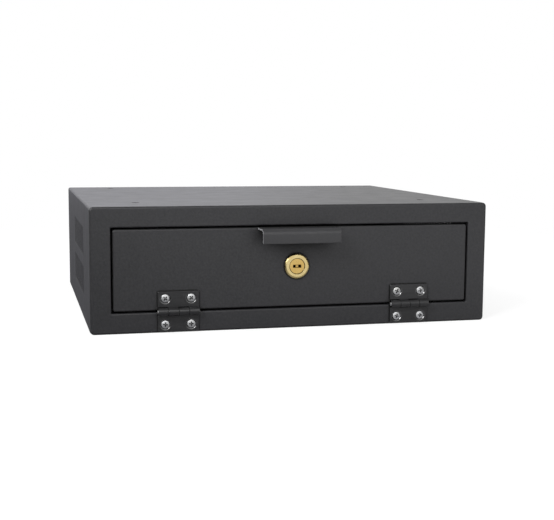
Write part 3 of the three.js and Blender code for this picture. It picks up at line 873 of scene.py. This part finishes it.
screw_cutter = mouth_cutter(
    "screw_cutter", lambda grow: circle_outline(screw_hole / 2, grow, 24), sheet, 0.2 * MM, "y")
frame_screws = screw_places(pin_z - screw_from_pin, front + sheet / 2)
combine(casing, in_rows("screw_cutters", screw_cutter, **frame_screws))
shade(casing)
hand_over(
    casing, "casing", "powder_coat", powder_coat,
    "top_panel", "bottom_panel", "left_side_panel", "right_side_panel", "front_frame")

# %% [markdown]
# ## Rear plate and door stops
# The rear is closed by a plate set inside the sheet's edge; the coat leaves a fine groove
# where it is welded in. Two small angles behind the frame's upright edges stop the door.

# %% Rear plate
plate_seam = 0.12 * MM
plate_round = 0.5 * MM
plate_inset = sheet + plate_seam
plate_bevel = 0.3 * plate_round
least_corner = 0.5 * MM


def plain_corner(radius):
    """Corner radius of any ring of a section whose outside has this radius."""
    return lambda inset, _depth: max(radius - inset, least_corner)


plate_section = [
    (plate_inset + plate_round, casing_depth - sheet),
    (plate_inset, casing_depth - sheet + edge_round),
    (plate_inset, casing_depth - plate_round),
    (plate_inset + plate_bevel, casing_depth - plate_bevel),
    (plate_inset + plate_round, casing_depth)]
plate_rings = carried_round(plate_section, casing_half_x, casing_half_z, plain_corner(long_fold))
rear_plate = new_piece("rear_plate", skin(plate_rings))
move(rear_plate, (0, front, casing_half_z))
shade(rear_plate)
hand_over(rear_plate, "casing", "powder_coat", powder_coat, "rear_panel")

# %% Door stops
def door_stop(node):
    """An angle of bent sheet that fills its node's box, with its reach towards the opening."""
    low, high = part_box(node)
    side = 1 if low.x > 0 else -1
    outer = high.x if side > 0 else low.x
    reach = low.x if side > 0 else high.x
    bend = 1.2 * MM
    web = side * sheet
    outline = [
        (reach, high.y - sheet), (outer - web, high.y - sheet), (outer - web, low.y), (outer, low.y)]
    turn = arc((outer - side * bend, high.y - bend), bend, 0 if side > 0 else 180, 90, 4)
    outline += turn + [(reach, high.y)]
    rings = [[Vector((x, y, z)) for x, y in outline] for z in (low.z, high.z)]
    stop = new_piece(node + "_tab", skin(rings))
    round_edges(stop, edge_round)
    shade(stop)
    hand_over(stop, "casing", "powder_coat", powder_coat, node)


for node in ("door_stop_left", "door_stop_right"):
    door_stop(node)

# %% [markdown]
# ## Door
# The door is a shallow pan of the same sheet: a flat face, a small fold all round and a
# return that stiffens it. It is one section carried round the door's rectangle, capped at
# the face and at the inner face. The lock's barrel and the hinge screws pass through it.

# %% Door pan
door_fold = 1.6 * MM
door_corner = 2.2 * MM
pan_round = 0.3 * MM
barrel_hole = 22.4 * MM
barrel_hole_flats = 20.0 * MM

pan_section = arc((door_fold, door_fold), door_fold, -90, -180, 6)
pan_section += [(0, door_depth - pan_round), (pan_round, door_depth), (sheet - pan_round, door_depth)]
pan_section += [(sheet, door_depth - pan_round), (sheet, sheet + pan_round), (sheet + pan_round, sheet)]
pan_rings = carried_round(pan_section, door_half_x, door_half_z, plain_corner(door_corner))
door = new_piece("door_pan", skin(pan_rings))
move(door, (0, front, casing_half_z))
print("door pan", len(door.data.vertices), "points")


# %% Holes in the door
def flatted(radius, flats, grow, steps=48):
    """Outline of a round hole with a flat at each side."""
    return [
        (max(-flats / 2 - grow, min(flats / 2 + grow, u)), v)
        for u, v in circle_outline(radius, grow, steps)]


barrel_cutter = mouth_cutter(
    "barrel_cutter", lambda grow: flatted(barrel_hole / 2, barrel_hole_flats, grow), sheet, 0.2 * MM, "y")
move(barrel_cutter, (0, front + sheet / 2, lock_middle.z))
combine(door, barrel_cutter)
door_screws = screw_places(pin_z + screw_from_pin, front + sheet / 2)
combine(door, in_rows("screw_cutters", screw_cutter, **door_screws))
remove(screw_cutter)
shade(door)
hand_over(door, "door", "powder_coat", door_coat, "door_panel")

# %% [markdown]
# ## Pull handle
# The pull is a strip bent once: out from the door's upper edge, over a radius, and down as
# a lip to hook fingers behind. Its section follows a path with a thickness, and the end
# rings are drawn in a little, which rounds the ends and the lip's lower corners.

# %% Pull handle
handle_low, handle_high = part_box("pull_handle")
handle_sheet = 2 * MM
handle_bend = 6 * MM
handle_corner = 1.2 * MM
handle_seat = 1.4 * MM
pale_end_facing = 0.8


def handle_ring(x, thin, lift):
    """Section of the strip at x, thinner by thin on each face and with its lip shorter by lift."""
    half = handle_sheet / 2 - thin
    top = handle_high.z - handle_sheet / 2
    tip = handle_low.y + handle_sheet / 2
    middle = handle_bend - handle_sheet / 2
    centre = (tip + middle, top - middle)
    end = handle_low.z + lift + thin
    outer = [(front + handle_seat, top + half)]
    outer += arc(centre, middle + half, 90, 180, 8)
    outer += [(tip - half, end + 0.6 * half), (tip - 0.4 * half, end)]
    inner = [(tip + 0.4 * half, end), (tip + half, end + 0.6 * half)]
    inner += arc(centre, middle - half, 180, 90, 8)
    inner += [(front + handle_seat, top - half)]
    return [Vector((x, y, z)) for y, z in outer + inner]


def handle_rings():
    half = handle_high.x
    rings = []
    for side in (-1, 1):
        ends = []
        for share in (1.0, 0.65, 0.4, 0.22, 0.1, 0.03, 0.0):
            inward = share * handle_corner
            lift = handle_corner - math.sqrt(handle_corner ** 2 - (handle_corner - inward) ** 2)
            bite = max(0.0, edge_round - inward)
            thin = edge_round - math.sqrt(edge_round ** 2 - bite ** 2)
            ends.append(handle_ring(side * (half - inward), thin, lift))
        rings += list(reversed(ends)) if side < 0 else ends
    return rings


handle = new_piece("pull_handle_strip", skin(handle_rings()))
shade(handle)
# Painted light: the pull's coat is paler than the door's, and its end faces are painted pale as a highlight.
handle.data.materials.append(handled_coat)
finish_faces(handle, rubbed_coat, lambda face: abs(face.normal.x) > pale_end_facing)
hand_over(handle, "door", "powder_coat", None, "pull_handle")

# %% [markdown]
# ## Butt hinges
# A leaf is a stamped strip whose fingers are rolled round the pin. It is drawn flat, as the
# blank leaves the press, with points about every ten degrees where it will be rolled. Then
# each point is carried to its place on the rolled shape and the blank gets its thickness, so
# the knuckles are truly rolled sheet with a seam, not tubes stuck to a plate.

# %% Rolled hinge leaves
leaf_low, leaf_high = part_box("hinge_door_leaf_left")
hinge_half = (leaf_high.x - leaf_low.x) / 2
leaf_sheet = 1.8 * MM
leaf_reach = leaf_high.z - pin_z
leaf_corner = 1.5 * MM
knuckle_middle = abs(front - pin_y) - leaf_sheet / 2
knuckle_count = 4
knuckle_gap = 0.36 * MM
curl_sweep = math.radians(290)
curl_steps = 26
plate_gap = abs(front - pin_y) + 0.4 * MM
sink_mouth = 10.6 * MM
sink_throat = sink_mouth - 2 * leaf_sheet
sink_round = 0.9 * MM
leaf_edge = 0.28 * MM
sheared_facing = 0.9


def rolled(x, along):
    """Place of a blank's point: along runs down the plate from its far edge, then round."""
    straight = leaf_reach
    if along <= straight:
        return Vector((x, knuckle_middle, straight - along))
    angle = -(along - straight) / knuckle_middle
    return Vector((x, knuckle_middle * math.cos(angle), knuckle_middle * math.sin(angle)))


def leaf_blank():
    """The flat blank rolled to shape, as a single skin of faces."""
    step = 2 * hinge_half / knuckle_count
    fingers = []
    for i in range(1, knuckle_count, 2):
        start = -hinge_half + i * step + knuckle_gap / 2
        end = hinge_half if i == knuckle_count - 1 else -hinge_half + (i + 1) * step - knuckle_gap / 2
        fingers.append((start, end))
    edges = sorted({-hinge_half, hinge_half, *[x for finger in fingers for x in finger]})
    plate_end = leaf_reach - plate_gap
    stations = [0, leaf_corner, plate_end, leaf_reach]
    stations += [leaf_reach + knuckle_middle * curl_sweep * i / curl_steps for i in range(1, curl_steps + 1)]
    shape = bmesh.new()
    points = {}
    for i, x in enumerate(edges):
        for j, along in enumerate(stations):
            points[i, j] = shape.verts.new(rolled(x, along))
    for i in range(len(edges) - 1):
        middle = (edges[i] + edges[i + 1]) / 2
        in_finger = any(start < middle < end for start, end in fingers)
        for j in range(len(stations) - 1):
            if stations[j + 1] <= plate_end or in_finger:
                shape.faces.new((points[i, j], points[i + 1, j], points[i + 1, j + 1], points[i, j + 1]))
    lonely = [vert for vert in shape.verts if not vert.link_faces]
    bmesh.ops.delete(shape, geom=lonely, context="VERTS")
    corners = [vert for vert in shape.verts if vert.co.z == leaf_reach and abs(vert.co.x) == hinge_half]
    bmesh.ops.bevel(shape, geom=corners, offset=leaf_corner, segments=5, affect="VERTICES", profile=0.5)
    return shape


def countersinks():
    """Cutter for a leaf's two screw holes, wide at the leaf's face."""
    surface = knuckle_middle - leaf_sheet / 2
    back = knuckle_middle + leaf_sheet / 2
    beyond = 0.5 * MM
    lip = sink_mouth / 2 + (math.sqrt(2) - 1) * sink_round
    both = bmesh.new()
    for x in (-screw_spacing / 2, screw_spacing / 2):
        profile = [(0, surface - beyond), (lip, surface - beyond)]
        profile += arc((lip, surface + sink_round), sink_round, -90, -135, 5)
        profile += [(sink_throat / 2, back), (sink_throat / 2, back + beyond), (0, back + beyond)]
        cone = turned_part(profile, 56)
        cone.transform(Matrix.Translation((x, 0, screw_from_pin)))
        part = bpy.data.meshes.new("cone")
        cone.to_mesh(part)
        cone.free()
        both.from_mesh(part)
        bpy.data.meshes.remove(part)
    return new_piece("countersinks", both)


def is_sheared(face):
    """True on the leaf's ends and on its far edge, where the strip was cut."""
    far_edge = face.normal.z > sheared_facing and face.center.z > plate_gap
    return far_edge or abs(face.normal.x) > sheared_facing


def hinge_leaf(name, centre_x, turned_over, body, node):
    leaf = new_piece(name, leaf_blank())
    wall = leaf.modifiers.new("sheet", "SOLIDIFY")
    wall.thickness = leaf_sheet
    wall.offset = 0
    wall.use_even_offset = True
    settle(leaf)
    round_edges(leaf, leaf_edge, 3)
    leaf.data.materials.append(hinge_black)
    # The cut edges get the painted edge shade.
    finish_faces(leaf, sheared_black, is_sheared)
    sinks = countersinks()
    sinks.data.materials.append(sink_black)
    combine(leaf, sinks, keep_finish=True)
    place = Matrix.Translation((centre_x, pin_y, pin_z))
    if turned_over:
        place = place @ Matrix.Rotation(math.pi, 4, "Y")
    leaf.data.transform(place)
    shade(leaf, 35)
    hand_over(leaf, body, "hinge_black", None, node)


for side, x in (("left", -hinge_x), ("right", hinge_x)):
    hinge_leaf(f"door_leaf_{side}", x, False, "door", f"hinge_door_leaf_{side}")
    hinge_leaf(f"frame_leaf_{side}", x, True, "casing", f"hinge_frame_leaf_{side}")

# %% [markdown]
# ## Hinge pins
# The pin is a length of bright wire, cropped and slightly crowned at its ends, held in the
# frame's knuckles. It shows at the hinge's ends and as bright slits between the knuckles.

# %% Hinge pins
def hinge_pin(name, node):
    low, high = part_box(node)
    radius = (high.z - low.z) / 2
    half = (high.x - low.x) / 2
    crown = 0.35 * MM
    rim = 0.5 * MM
    side = [(0, -half), (0.5 * radius, -half + 0.15 * crown), (radius - rim, -half + crown)]
    side += arc((radius - rim, -half + crown + rim), rim, -90, 0, 4)[1:]
    profile = side + [(r, -depth) for r, depth in reversed(side)]
    pin = new_piece(name, turned_part(profile, 40))
    pin.data.transform(Matrix.Translation((low + high) / 2) @ Matrix.Rotation(math.pi / 2, 4, "Z"))
    shade(pin)
    hand_over(pin, "casing", "zinc_steel", zinc_steel, node)


for side in ("left", "right"):
    hinge_pin(f"pin_{side}", f"hinge_pin_{side}")

# %% [markdown]
# ## Screws
# Each hinge is held by four raised countersunk machine screws with a cross recess. The head
# sinks into the leaf's countersink, whose painted shade leaves a dark ring round the bright
# crown. One turned template with its recess cut is set in rows, and the seed gives each its
# own turn.

# %% Screw template and rows
screw_radius = 2.4 * MM
head_radius = 4.1 * MM
head_rise = 0.75 * MM
head_round = 0.25 * MM
head_edge = 0.3 * MM
recess_span = 5.0 * MM
recess_width = 1.3 * MM
recess_depth = 1.7 * MM
recess_mouth = 1.25
recess_floor = 0.62
screw_low, screw_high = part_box("screw_door_left_a")
screw_end = screw_high.y - pin_y
crown_top = screw_low.y - pin_y


def cross_recess(face):
    """Cutter for a cross recess, tapered to its floor."""
    rings = []
    for y, share in ((face - 1 * MM, recess_mouth), (face + recess_depth, recess_floor)):
        u = recess_span / 2 * share
        v = recess_width / 2 * (1 + share) / 2
        arms = [(u, -v), (u, v), (v, v), (v, u), (-v, u), (-v, v)]
        arms += [(-x, -z) for x, z in arms]
        rings.append([Vector((x, y, z)) for x, z in arms])
    return new_piece("recess", skin(rings))


def screw_template():
    sphere = (head_radius ** 2 + head_rise ** 2) / (2 * head_rise)
    reach = math.degrees(math.asin((head_radius - head_round) / sphere))
    crown = arc((0, crown_top + sphere), sphere, -90, -90 + reach, 7)
    edge = crown[-1][1] + head_round
    profile = [(0, crown_top)] + crown[1:]
    profile += arc((head_radius - head_round, edge), head_round, -90 + reach, 0, 3)[1:]
    throat = edge + head_edge + head_radius - screw_radius
    profile += [(head_radius, edge + head_edge), (screw_radius, throat)]
    pitch = 0.8 * MM
    thread = 0.18 * MM
    turns = int((screw_end - throat - pitch) / pitch)
    for i in range(turns):
        start = throat + 0.3 * pitch + i * pitch
        profile += [(screw_radius - thread, start + 0.4 * pitch), (screw_radius, start + 0.8 * pitch)]
    profile += [(screw_radius - 0.5 * MM, screw_end), (0, screw_end)]
    screw = new_piece("screw_template", turned_part(profile, 40))
    combine(screw, cross_recess(crown_top))
    shade(screw, 38)
    return screw


def set_in_leaves(kind, template, y, spread, seeds):
    """Sets a template at the screw places of the frame's and the door's leaves, and removes it."""
    rows = (("frame", "casing", pin_z - screw_from_pin), ("door", "door", pin_z + screw_from_pin))
    for (place, body, z), seed in zip(rows, seeds):
        piece = in_rows(
            f"hinge_{kind}s_{place}", template, turn_spread=spread, seed=seed, finish=zinc_steel,
            **screw_places(z, y))
        nodes = [f"{kind}_{place}_{side}_{end}" for side in ("left", "right") for end in ("a", "b")]
        hand_over(piece, body, "zinc_steel", None, *nodes)
    remove(template)


set_in_leaves("screw", screw_template(), pin_y, math.pi, (5, 11))

# %% [markdown]
# ## Nuts
# Behind the sheet, each screw takes a hexagon nut. A nut is a hexagon trimmed by a turned
# shape, which leaves the curved chamfers on its corners, and then bored. The big nut of the
# lock is made by the same function.

# %% Nuts
def hexagon_nut(name, across, thickness, bore):
    corner = across / 2 / math.cos(math.pi / 6)
    hexagon = arc((0, 0), corner, 0, 300, 5)
    rings = [[Vector((u, y, v)) for u, v in hexagon] for y in (0, thickness)]
    nut = new_piece(name, skin(rings))
    slack = 0.06 * across
    drop = 1.1 * slack
    flat = 0.485 * across
    profile = [
        (0, -MM), (flat - slack, -MM), (flat, 0), (corner + slack, drop),
        (corner + slack, thickness - drop), (flat, thickness), (flat - slack, thickness + MM),
        (0, thickness + MM)]
    combine(nut, new_piece("trim", turned_part(profile, 96)), "INTERSECT")
    lead = 0.35 * MM
    hole = [
        (0, -lead), (bore / 2 + 2 * lead, -lead), (bore / 2, lead), (bore / 2, thickness - lead),
        (bore / 2 + 2 * lead, thickness + lead), (0, thickness + lead)]
    combine(nut, new_piece("bore", turned_part(hole, 48)))
    shade(nut, 25)
    return nut


nut_low, nut_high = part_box("nut_door_left_a")
nut_across = 8 * MM
nut_bore = 5.1 * MM
nut = hexagon_nut("nut_template", nut_across, nut_high.y - nut_low.y, nut_bore)
set_in_leaves("nut", nut, nut_low.y, math.pi / 6, (7, 3))

# %% [markdown]
# ## Cam lock: housing
# Bezel and barrel are one turned brass piece. The bezel is broad and softly domed, with a
# small chamfer where it meets the plug. The barrel behind the door is threaded for its nut
# and has two flats, so that it can't turn in the door.

# %% Lock housing
bezel_height = front - lock_low.y
barrel_end = lock_high.y - front
barrel_radius = 11 * MM
barrel_flats = 19.6 * MM
plug_clearance = 0.15 * MM
shoulder = barrel_end - 4 * MM
tail_radius = 6 * MM


def housing_profile():
    bore = plug_radius + plug_clearance
    chamfer = 0.3 * MM
    face = bore + 2.7 * MM
    profile = [(bore, shoulder), (bore, -bezel_height + chamfer), (bore + chamfer, -bezel_height)]
    rim_height = 0.7 * MM
    reach = bezel_radius - face
    drop = bezel_height - rim_height
    for c, s in arc((0, 0), 1, -90, 0, 12):
        profile.append((face + reach * c, -rim_height + drop * s))
    rim_round = 0.2 * MM
    profile += arc((bezel_radius - rim_round, -rim_round), rim_round, 0, 90, 2)
    profile.append((barrel_radius, 0))
    pitch = 1.0 * MM
    thread = 0.3 * MM
    start = sheet
    while start + pitch < barrel_end:
        profile += [(barrel_radius, start), (barrel_radius - thread, start + 0.5 * pitch)]
        start += pitch
    profile += [(barrel_radius, start), (barrel_radius - 0.5 * MM, barrel_end)]
    profile += [(tail_radius + plug_clearance, barrel_end), (tail_radius + plug_clearance, shoulder)]
    return profile


housing = new_piece("lock_bezel_and_barrel", turned_part(housing_profile(), 128))
for side in (-1, 1):
    near = side * barrel_flats / 2
    far = side * 1.3 * barrel_radius
    low = (min(near, far), 0.02 * MM, -2 * barrel_radius)
    high = (max(near, far), barrel_end + MM, 2 * barrel_radius)
    combine(housing, new_piece("flat", block(low, high)))
move(housing, lock_middle)
shade(housing, 40)
hand_over(housing, "door", "yellow_brass", yellow_brass, "lock_housing")

# %% Lock washer and nut
washer_low, washer_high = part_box("lock_washer")
big_nut_low, big_nut_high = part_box("lock_nut")
washer_radius = (washer_high.x - washer_low.x) / 2
washer_face = washer_low.y - front
washer_back = washer_high.y - front
washer_edge = 0.15 * MM
washer_profile = [
    (barrel_hole / 2, washer_face), (washer_radius - washer_edge, washer_face),
    (washer_radius, washer_face + washer_edge), (washer_radius, washer_back - washer_edge),
    (washer_radius - washer_edge, washer_back), (barrel_hole / 2, washer_back)]
washer = new_piece("lock_washer_ring", turned_part(washer_profile, 96))
move(washer, lock_middle)
shade(washer, 30)
hand_over(washer, "door", "zinc_steel", zinc_steel, "lock_washer")

big_nut_across = 27 * MM
big_nut_bore = 22.3 * MM
big_nut_thickness = big_nut_high.y - big_nut_low.y
big_nut = hexagon_nut("lock_nut_hexagon", big_nut_across, big_nut_thickness, big_nut_bore)
move(big_nut, (0, big_nut_low.y, lock_middle.z))
hand_over(big_nut, "door", "zinc_steel", zinc_steel, "lock_nut")

# %% [markdown]
# ## Cam lock: plug
# The plug is what the key turns. Its face is a little below the bezel, with a rounded rim
# and a flat keyway. A ward stands in the middle of the keyway and is set back from the face,
# so the mouth reads as two dark squares with a lighter bridge between them.

# %% Lock plug
plug_low, plug_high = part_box("lock_plug")
plug_face = plug_low.y - front
plug_end = plug_high.y - front
tail_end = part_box("lock_cam")[0].y - front - plug_clearance
plug_shoulder = shoulder - plug_clearance
keyway_half = 4.25 * MM
keyway_tall = 1.45 * MM
keyway_depth = 8 * MM
ward_half = 1.35 * MM
ward_sink = 0.8 * MM
plug_square = 4 * MM

rim = 0.35 * MM
plug_profile = [(0, plug_face), (0.6 * plug_radius, plug_face)]
plug_profile += arc((plug_radius - rim, plug_face + rim), rim, -90, 0, 4)
plug_profile += [(plug_radius, plug_shoulder), (tail_radius, plug_shoulder)]
plug_profile += [(tail_radius, tail_end), (0, tail_end)]
plug = new_piece("lock_plug_turned", turned_part(plug_profile, 96))
tail = block((-plug_square, tail_end - MM, -plug_square), (plug_square, plug_end, plug_square))
combine(plug, new_piece("tail", tail), "UNION")


def keyway_cutter():
    """The keyway down to its ward, with a slightly flared mouth."""
    flare = 0.2 * MM
    rings = []
    for y, grow in ((plug_face - MM, flare + MM), (plug_face + flare, 0), (plug_face + ward_sink, 0)):
        u = keyway_half + grow
        v = keyway_tall + grow
        rings.append([Vector((x, y, z)) for x, z in ((-u, -v), (u, -v), (u, v), (-u, v))])
    return new_piece("keyway", skin(rings))


combine(plug, keyway_cutter())
for side in (-1, 1):
    low_x, high_x = sorted((side * ward_half, side * keyway_half))
    deep = block(
        (low_x, plug_face + 0.5 * ward_sink, -keyway_tall), (high_x, plug_face + keyway_depth, keyway_tall))
    combine(plug, new_piece("deep", deep))
move(plug, lock_middle)
shade(plug, 35)
hand_over(plug, "lock_rotor", "yellow_brass", yellow_brass, "lock_plug")

# %% [markdown]
# ## Cam and its screw
# The cam is a flat stamped arm on the plug's square tail. A quarter turn swings it up behind
# the frame's turned-in edge. It is an outline with a round end, given its thickness, and a
# pan-head screw holds it on.

# %% Cam
cam_low, cam_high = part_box("lock_cam")
cam_radius = (cam_high.z - cam_low.z) / 2
cam_outline = arc((0, 0), cam_radius, -90, 90, 20)
cam_outline += arc((cam_low.x + cam_radius, 0), cam_radius, 90, 270, 20)
cam_rings = []
for y in (cam_low.y, cam_high.y):
    cam_rings.append([Vector((u, y, lock_middle.z + v)) for u, v in cam_outline])
cam = new_piece("lock_cam_arm", skin(cam_rings))
square = plug_square + plug_clearance
square_hole = block(
    (-square, cam_low.y - MM, lock_middle.z - square), (square, cam_high.y + MM, lock_middle.z + square))
combine(cam, new_piece("square", square_hole))
round_edges(cam, 0.3 * MM)
shade(cam, 30)
hand_over(cam, "lock_rotor", "zinc_steel", zinc_steel, "lock_cam")

# %% Cam screw
pan_low, pan_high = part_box("cam_screw")
head_wide = (pan_high.x - pan_low.x) / 2
head_tall = pan_high.y - cam_high.y
head_rim = 0.25
pan_profile = [(0, pan_low.y), (screw_radius, pan_low.y), (screw_radius, cam_high.y)]
pan_profile += [(head_wide - 0.1 * MM, cam_high.y), (head_wide, cam_high.y + head_rim * head_tall)]
for c, s in arc((0, 0), 1, 20, 90, 8):
    pan_profile.append((head_wide * c, cam_high.y + head_tall * (head_rim + (1 - head_rim) * s)))
pan_profile[-1] = (0, pan_high.y)
cam_screw = new_piece("cam_screw_pan", turned_part(pan_profile, 56))
recess = cross_recess(0)
recess.data.transform(Matrix.Translation((0, pan_high.y, 0)) @ Matrix.Rotation(math.pi, 4, "X"))
combine(cam_screw, recess)
move(cam_screw, (0, 0, lock_middle.z))
shade(cam_screw, 38)
hand_over(cam_screw, "lock_rotor", "zinc_steel", zinc_steel, "cam_screw")

# %% [markdown]
# ## Floor
# The photograph is a plain studio shot on white. The floor is white for the camera and in
# reflections, and a plain grey for the light that it sends on. Near the box it adds a part
# that takes light to a part that is simply white, so it keeps a faint shadow, and farther
# out it runs over into the white of the backdrop.

# %% Floor
floor_half = 6
floor_grey = (0.62, 0.62, 0.62, 1)
lit_grey = (0.32, 0.32, 0.32, 1)
near_glow = 0.76
shadow_reach = 0.5
white_beyond = 1.1
white = (1, 1, 1, 1)


def seen_directly(tree):
    """1 for camera, glossy and transmission rays, otherwise 0."""
    path = tree.nodes.new("ShaderNodeLightPath")
    value = path.outputs["Is Camera Ray"]
    for name in ("Is Glossy Ray", "Is Transmission Ray"):
        either = tree.nodes.new("ShaderNodeMath")
        either.operation = "MAXIMUM"
        tree.links.new(value, either.inputs[0])
        tree.links.new(path.outputs[name], either.inputs[1])
        value = either.outputs["Value"]
    return value


def clear_finish(name):
    finish = bpy.data.materials.new(name)
    finish.use_nodes = True
    finish.node_tree.nodes.clear()
    output = finish.node_tree.nodes.new("ShaderNodeOutputMaterial")
    return finish, finish.node_tree, output.inputs["Surface"]


def mix_shaders(tree, factor, one, other):
    choice = tree.nodes.new("ShaderNodeMixShader")
    for i, source in enumerate((factor, one, other)):
        tree.links.new(source, choice.inputs[i])
    return choice.outputs[0]


def outward(tree, near, far):
    """0 within the near distance of the object's origin, 1 beyond the far one."""
    coords = tree.nodes.new("ShaderNodeTexCoord")
    return map_range(tree, distance(tree, coords.outputs["Object"]), near, far, interpolation="SMOOTHSTEP")


def make_floor():
    finish, tree, surface = clear_finish("studio_floor")
    matt = add_node(tree, "ShaderNodeBsdfDiffuse", color=floor_grey)
    lit = add_node(tree, "ShaderNodeBsdfDiffuse", color=lit_grey)
    glow = add_node(tree, "ShaderNodeEmission", color=white, strength=near_glow)
    far_glow = add_node(tree, "ShaderNodeEmission", color=white, strength=1.0)
    near = tree.nodes.new("ShaderNodeAddShader")
    tree.links.new(lit.outputs[0], near.inputs[0])
    tree.links.new(glow.outputs[0], near.inputs[1])
    fade = outward(tree, shadow_reach, white_beyond)
    shown = mix_shaders(tree, fade, near.outputs[0], far_glow.outputs[0])
    tree.links.new(mix_shaders(tree, seen_directly(tree), matt.outputs[0], shown), surface)
    return finish


def flat_sheet(name, half, finish):
    """A square about its own origin, facing up, that belongs to the stage."""
    shape = bmesh.new()
    corners = ((-half, -half), (half, -half), (half, half), (-half, half))
    shape.faces.new([shape.verts.new((x, y, 0)) for x, y in corners])
    card = add_object(name, shape)
    card.data.materials.append(finish)
    return card


flat_sheet("floor", floor_half, make_floor())
print("floor", 2 * floor_half, "m wide")

# %% [markdown]
# ## World
# The backdrop is white up to well above the horizon, and the studio's ceiling is darker. The
# camera and all reflections see the same, so the folds of the sheet turn from bright to dark
# over their radius. Everything else gets one plain grey light from all round.

# %% World
ambient_strength = 0.45
ceiling_grey = 0.25
ceiling_start = math.sin(math.radians(38))
ceiling_full = math.sin(math.radians(68))

world = bpy.data.worlds.new("studio")
world.use_nodes = True
world_tree = world.node_tree
world_tree.nodes.clear()
ambient = add_node(world_tree, "ShaderNodeBackground", color=white, strength=ambient_strength)
backdrop = add_node(world_tree, "ShaderNodeBackground", color=white)
direction = world_tree.nodes.new("ShaderNodeTexCoord")
parts = world_tree.nodes.new("ShaderNodeSeparateXYZ")
world_tree.links.new(direction.outputs["Generated"], parts.inputs[0])
backdrop_strength = map_range(
    world_tree, parts.outputs["Z"], ceiling_start, ceiling_full, 1.0, ceiling_grey, "SMOOTHSTEP")
world_tree.links.new(backdrop_strength, backdrop.inputs["Strength"])
world_output = world_tree.nodes.new("ShaderNodeOutputWorld")
shown_world = mix_shaders(world_tree, seen_directly(world_tree), ambient.outputs[0], backdrop.outputs[0])
world_tree.links.new(shown_world, world_output.inputs["Surface"])
scene.world = world
print("ambient", ambient_strength, "ceiling", ceiling_grey)

# %% [markdown]
# ## Shade cards
# A photographer darkens what a dark, satin thing reflects with grey cards. Two lie on the
# floor before the box, so its front isn't milky and grows darker towards its foot. Two lie
# behind its left corner for the left side, and one stands far behind for the top. Black ones
# lie and stand before the left corner and stand at the right, and draw the upright folds
# dark. Only reflections see them, and they fade out towards their edges.

# %% Shade cards
def shade_card(name, middle, half_size, grey, core=0.35, turn=(0, 0, 0), stretch=1):
    """A round card, seen in reflections only, with its full tone in its core. It can be
    stretched sideways."""
    finish, tree, surface = clear_finish(name)
    tone = add_node(tree, "ShaderNodeEmission", color=(*grey, 1), strength=1.0)
    clear = add_node(tree, "ShaderNodeBsdfTransparent", color=white)
    fade = outward(tree, core * half_size, half_size)
    tree.links.new(mix_shaders(tree, fade, tone.outputs[0], clear.outputs[0]), surface)
    card = flat_sheet(name, half_size, finish)
    card.location = middle
    card.rotation_euler = [math.radians(angle) for angle in turn]
    card.scale.x = stretch
    for kind in ("camera", "diffuse", "transmission", "volume_scatter", "shadow"):
        setattr(card, "visible_" + kind, False)
    return card


card_height = 0.5 * MM
shade_card("front_card", (0.25, -0.62, card_height), 0.70, (0.95, 0.95, 0.96))
shade_card("foot_card", (-0.10, -0.25, 2 * card_height), 0.22, (0.34, 0.34, 0.35), stretch=2.8)
shade_card("corner_flag", (-0.83, -0.68, -0.35), 0.85, (0.01, 0.01, 0.01), 0.7, (90, 0, -52))
shade_card("corner_card", (-0.58, -0.54, 4 * card_height), 0.62, (0.01, 0.01, 0.01), 0.6)
shade_card("left_card", (-0.45, 0.41, 3 * card_height), 0.85, (0.17, 0.17, 0.19), 0.6)
shade_card("far_card", (-0.80, 2.20, card_height), 1.90, (0.11, 0.11, 0.13), 0.75)
shade_card("back_card", (-0.20, 3.00, 0.00), 1.60, (0.74, 0.74, 0.82), 0.5, (90, 0, 0))
shade_card("right_card", (0.90, -0.25, 0.00), 1.10, (0.02, 0.02, 0.02), 0.7, (0, 90, 0))

# %% [markdown]
# ## Lamps
# A softbox to the upper left of the camera is the key: it puts the small glint on the upper
# left of the bezel and in the lower right of each countersink. A strip above the camera
# lights the edges that face up and forwards. A rim light behind and above draws the bright
# line along the upper folds. A broad overhead panel and a weak panel at the right keep the
# light even.

# %% Lamps
box_middle = Vector((0, 0, casing_half_z))


def softbox(name, place, width, height, radiance, tint=(1, 1, 1)):
    """A rectangular lamp aimed at the box, as bright as a white sheet times its radiance."""
    light = bpy.data.lights.new(name, "AREA")
    light.shape = "RECTANGLE"
    light.size = width
    light.size_y = height
    light.energy = radiance * math.pi * width * height
    light.color = tint
    lamp = bpy.data.objects.new(name, light)
    lamp.location = place
    lamp.rotation_euler = (box_middle - Vector(place)).to_track_quat("-Z", "Y").to_euler()
    lamp.visible_camera = False
    scene.collection.objects.link(lamp)
    print(name, round(light.energy, 1), "W")
    return lamp


softbox("key", (-1.7, -1.5, 1.55), 1.1, 1.1, 11)
softbox("strip", (-0.4, -2.0, 1.7), 2.4, 0.8, 2.2)
softbox("rim", (-0.5, 1.9, 1.25), 2.4, 0.9, 1.2, (0.95, 0.95, 1.0))
overhead = softbox("overhead", (0.3, 0.2, 2.4), 2.4, 2.4, 0.5)
overhead.visible_glossy = False
softbox("fill", (2.2, -1.4, 0.9), 1.2, 1.2, 1.8)

scene.view_settings.view_transform = "Standard"
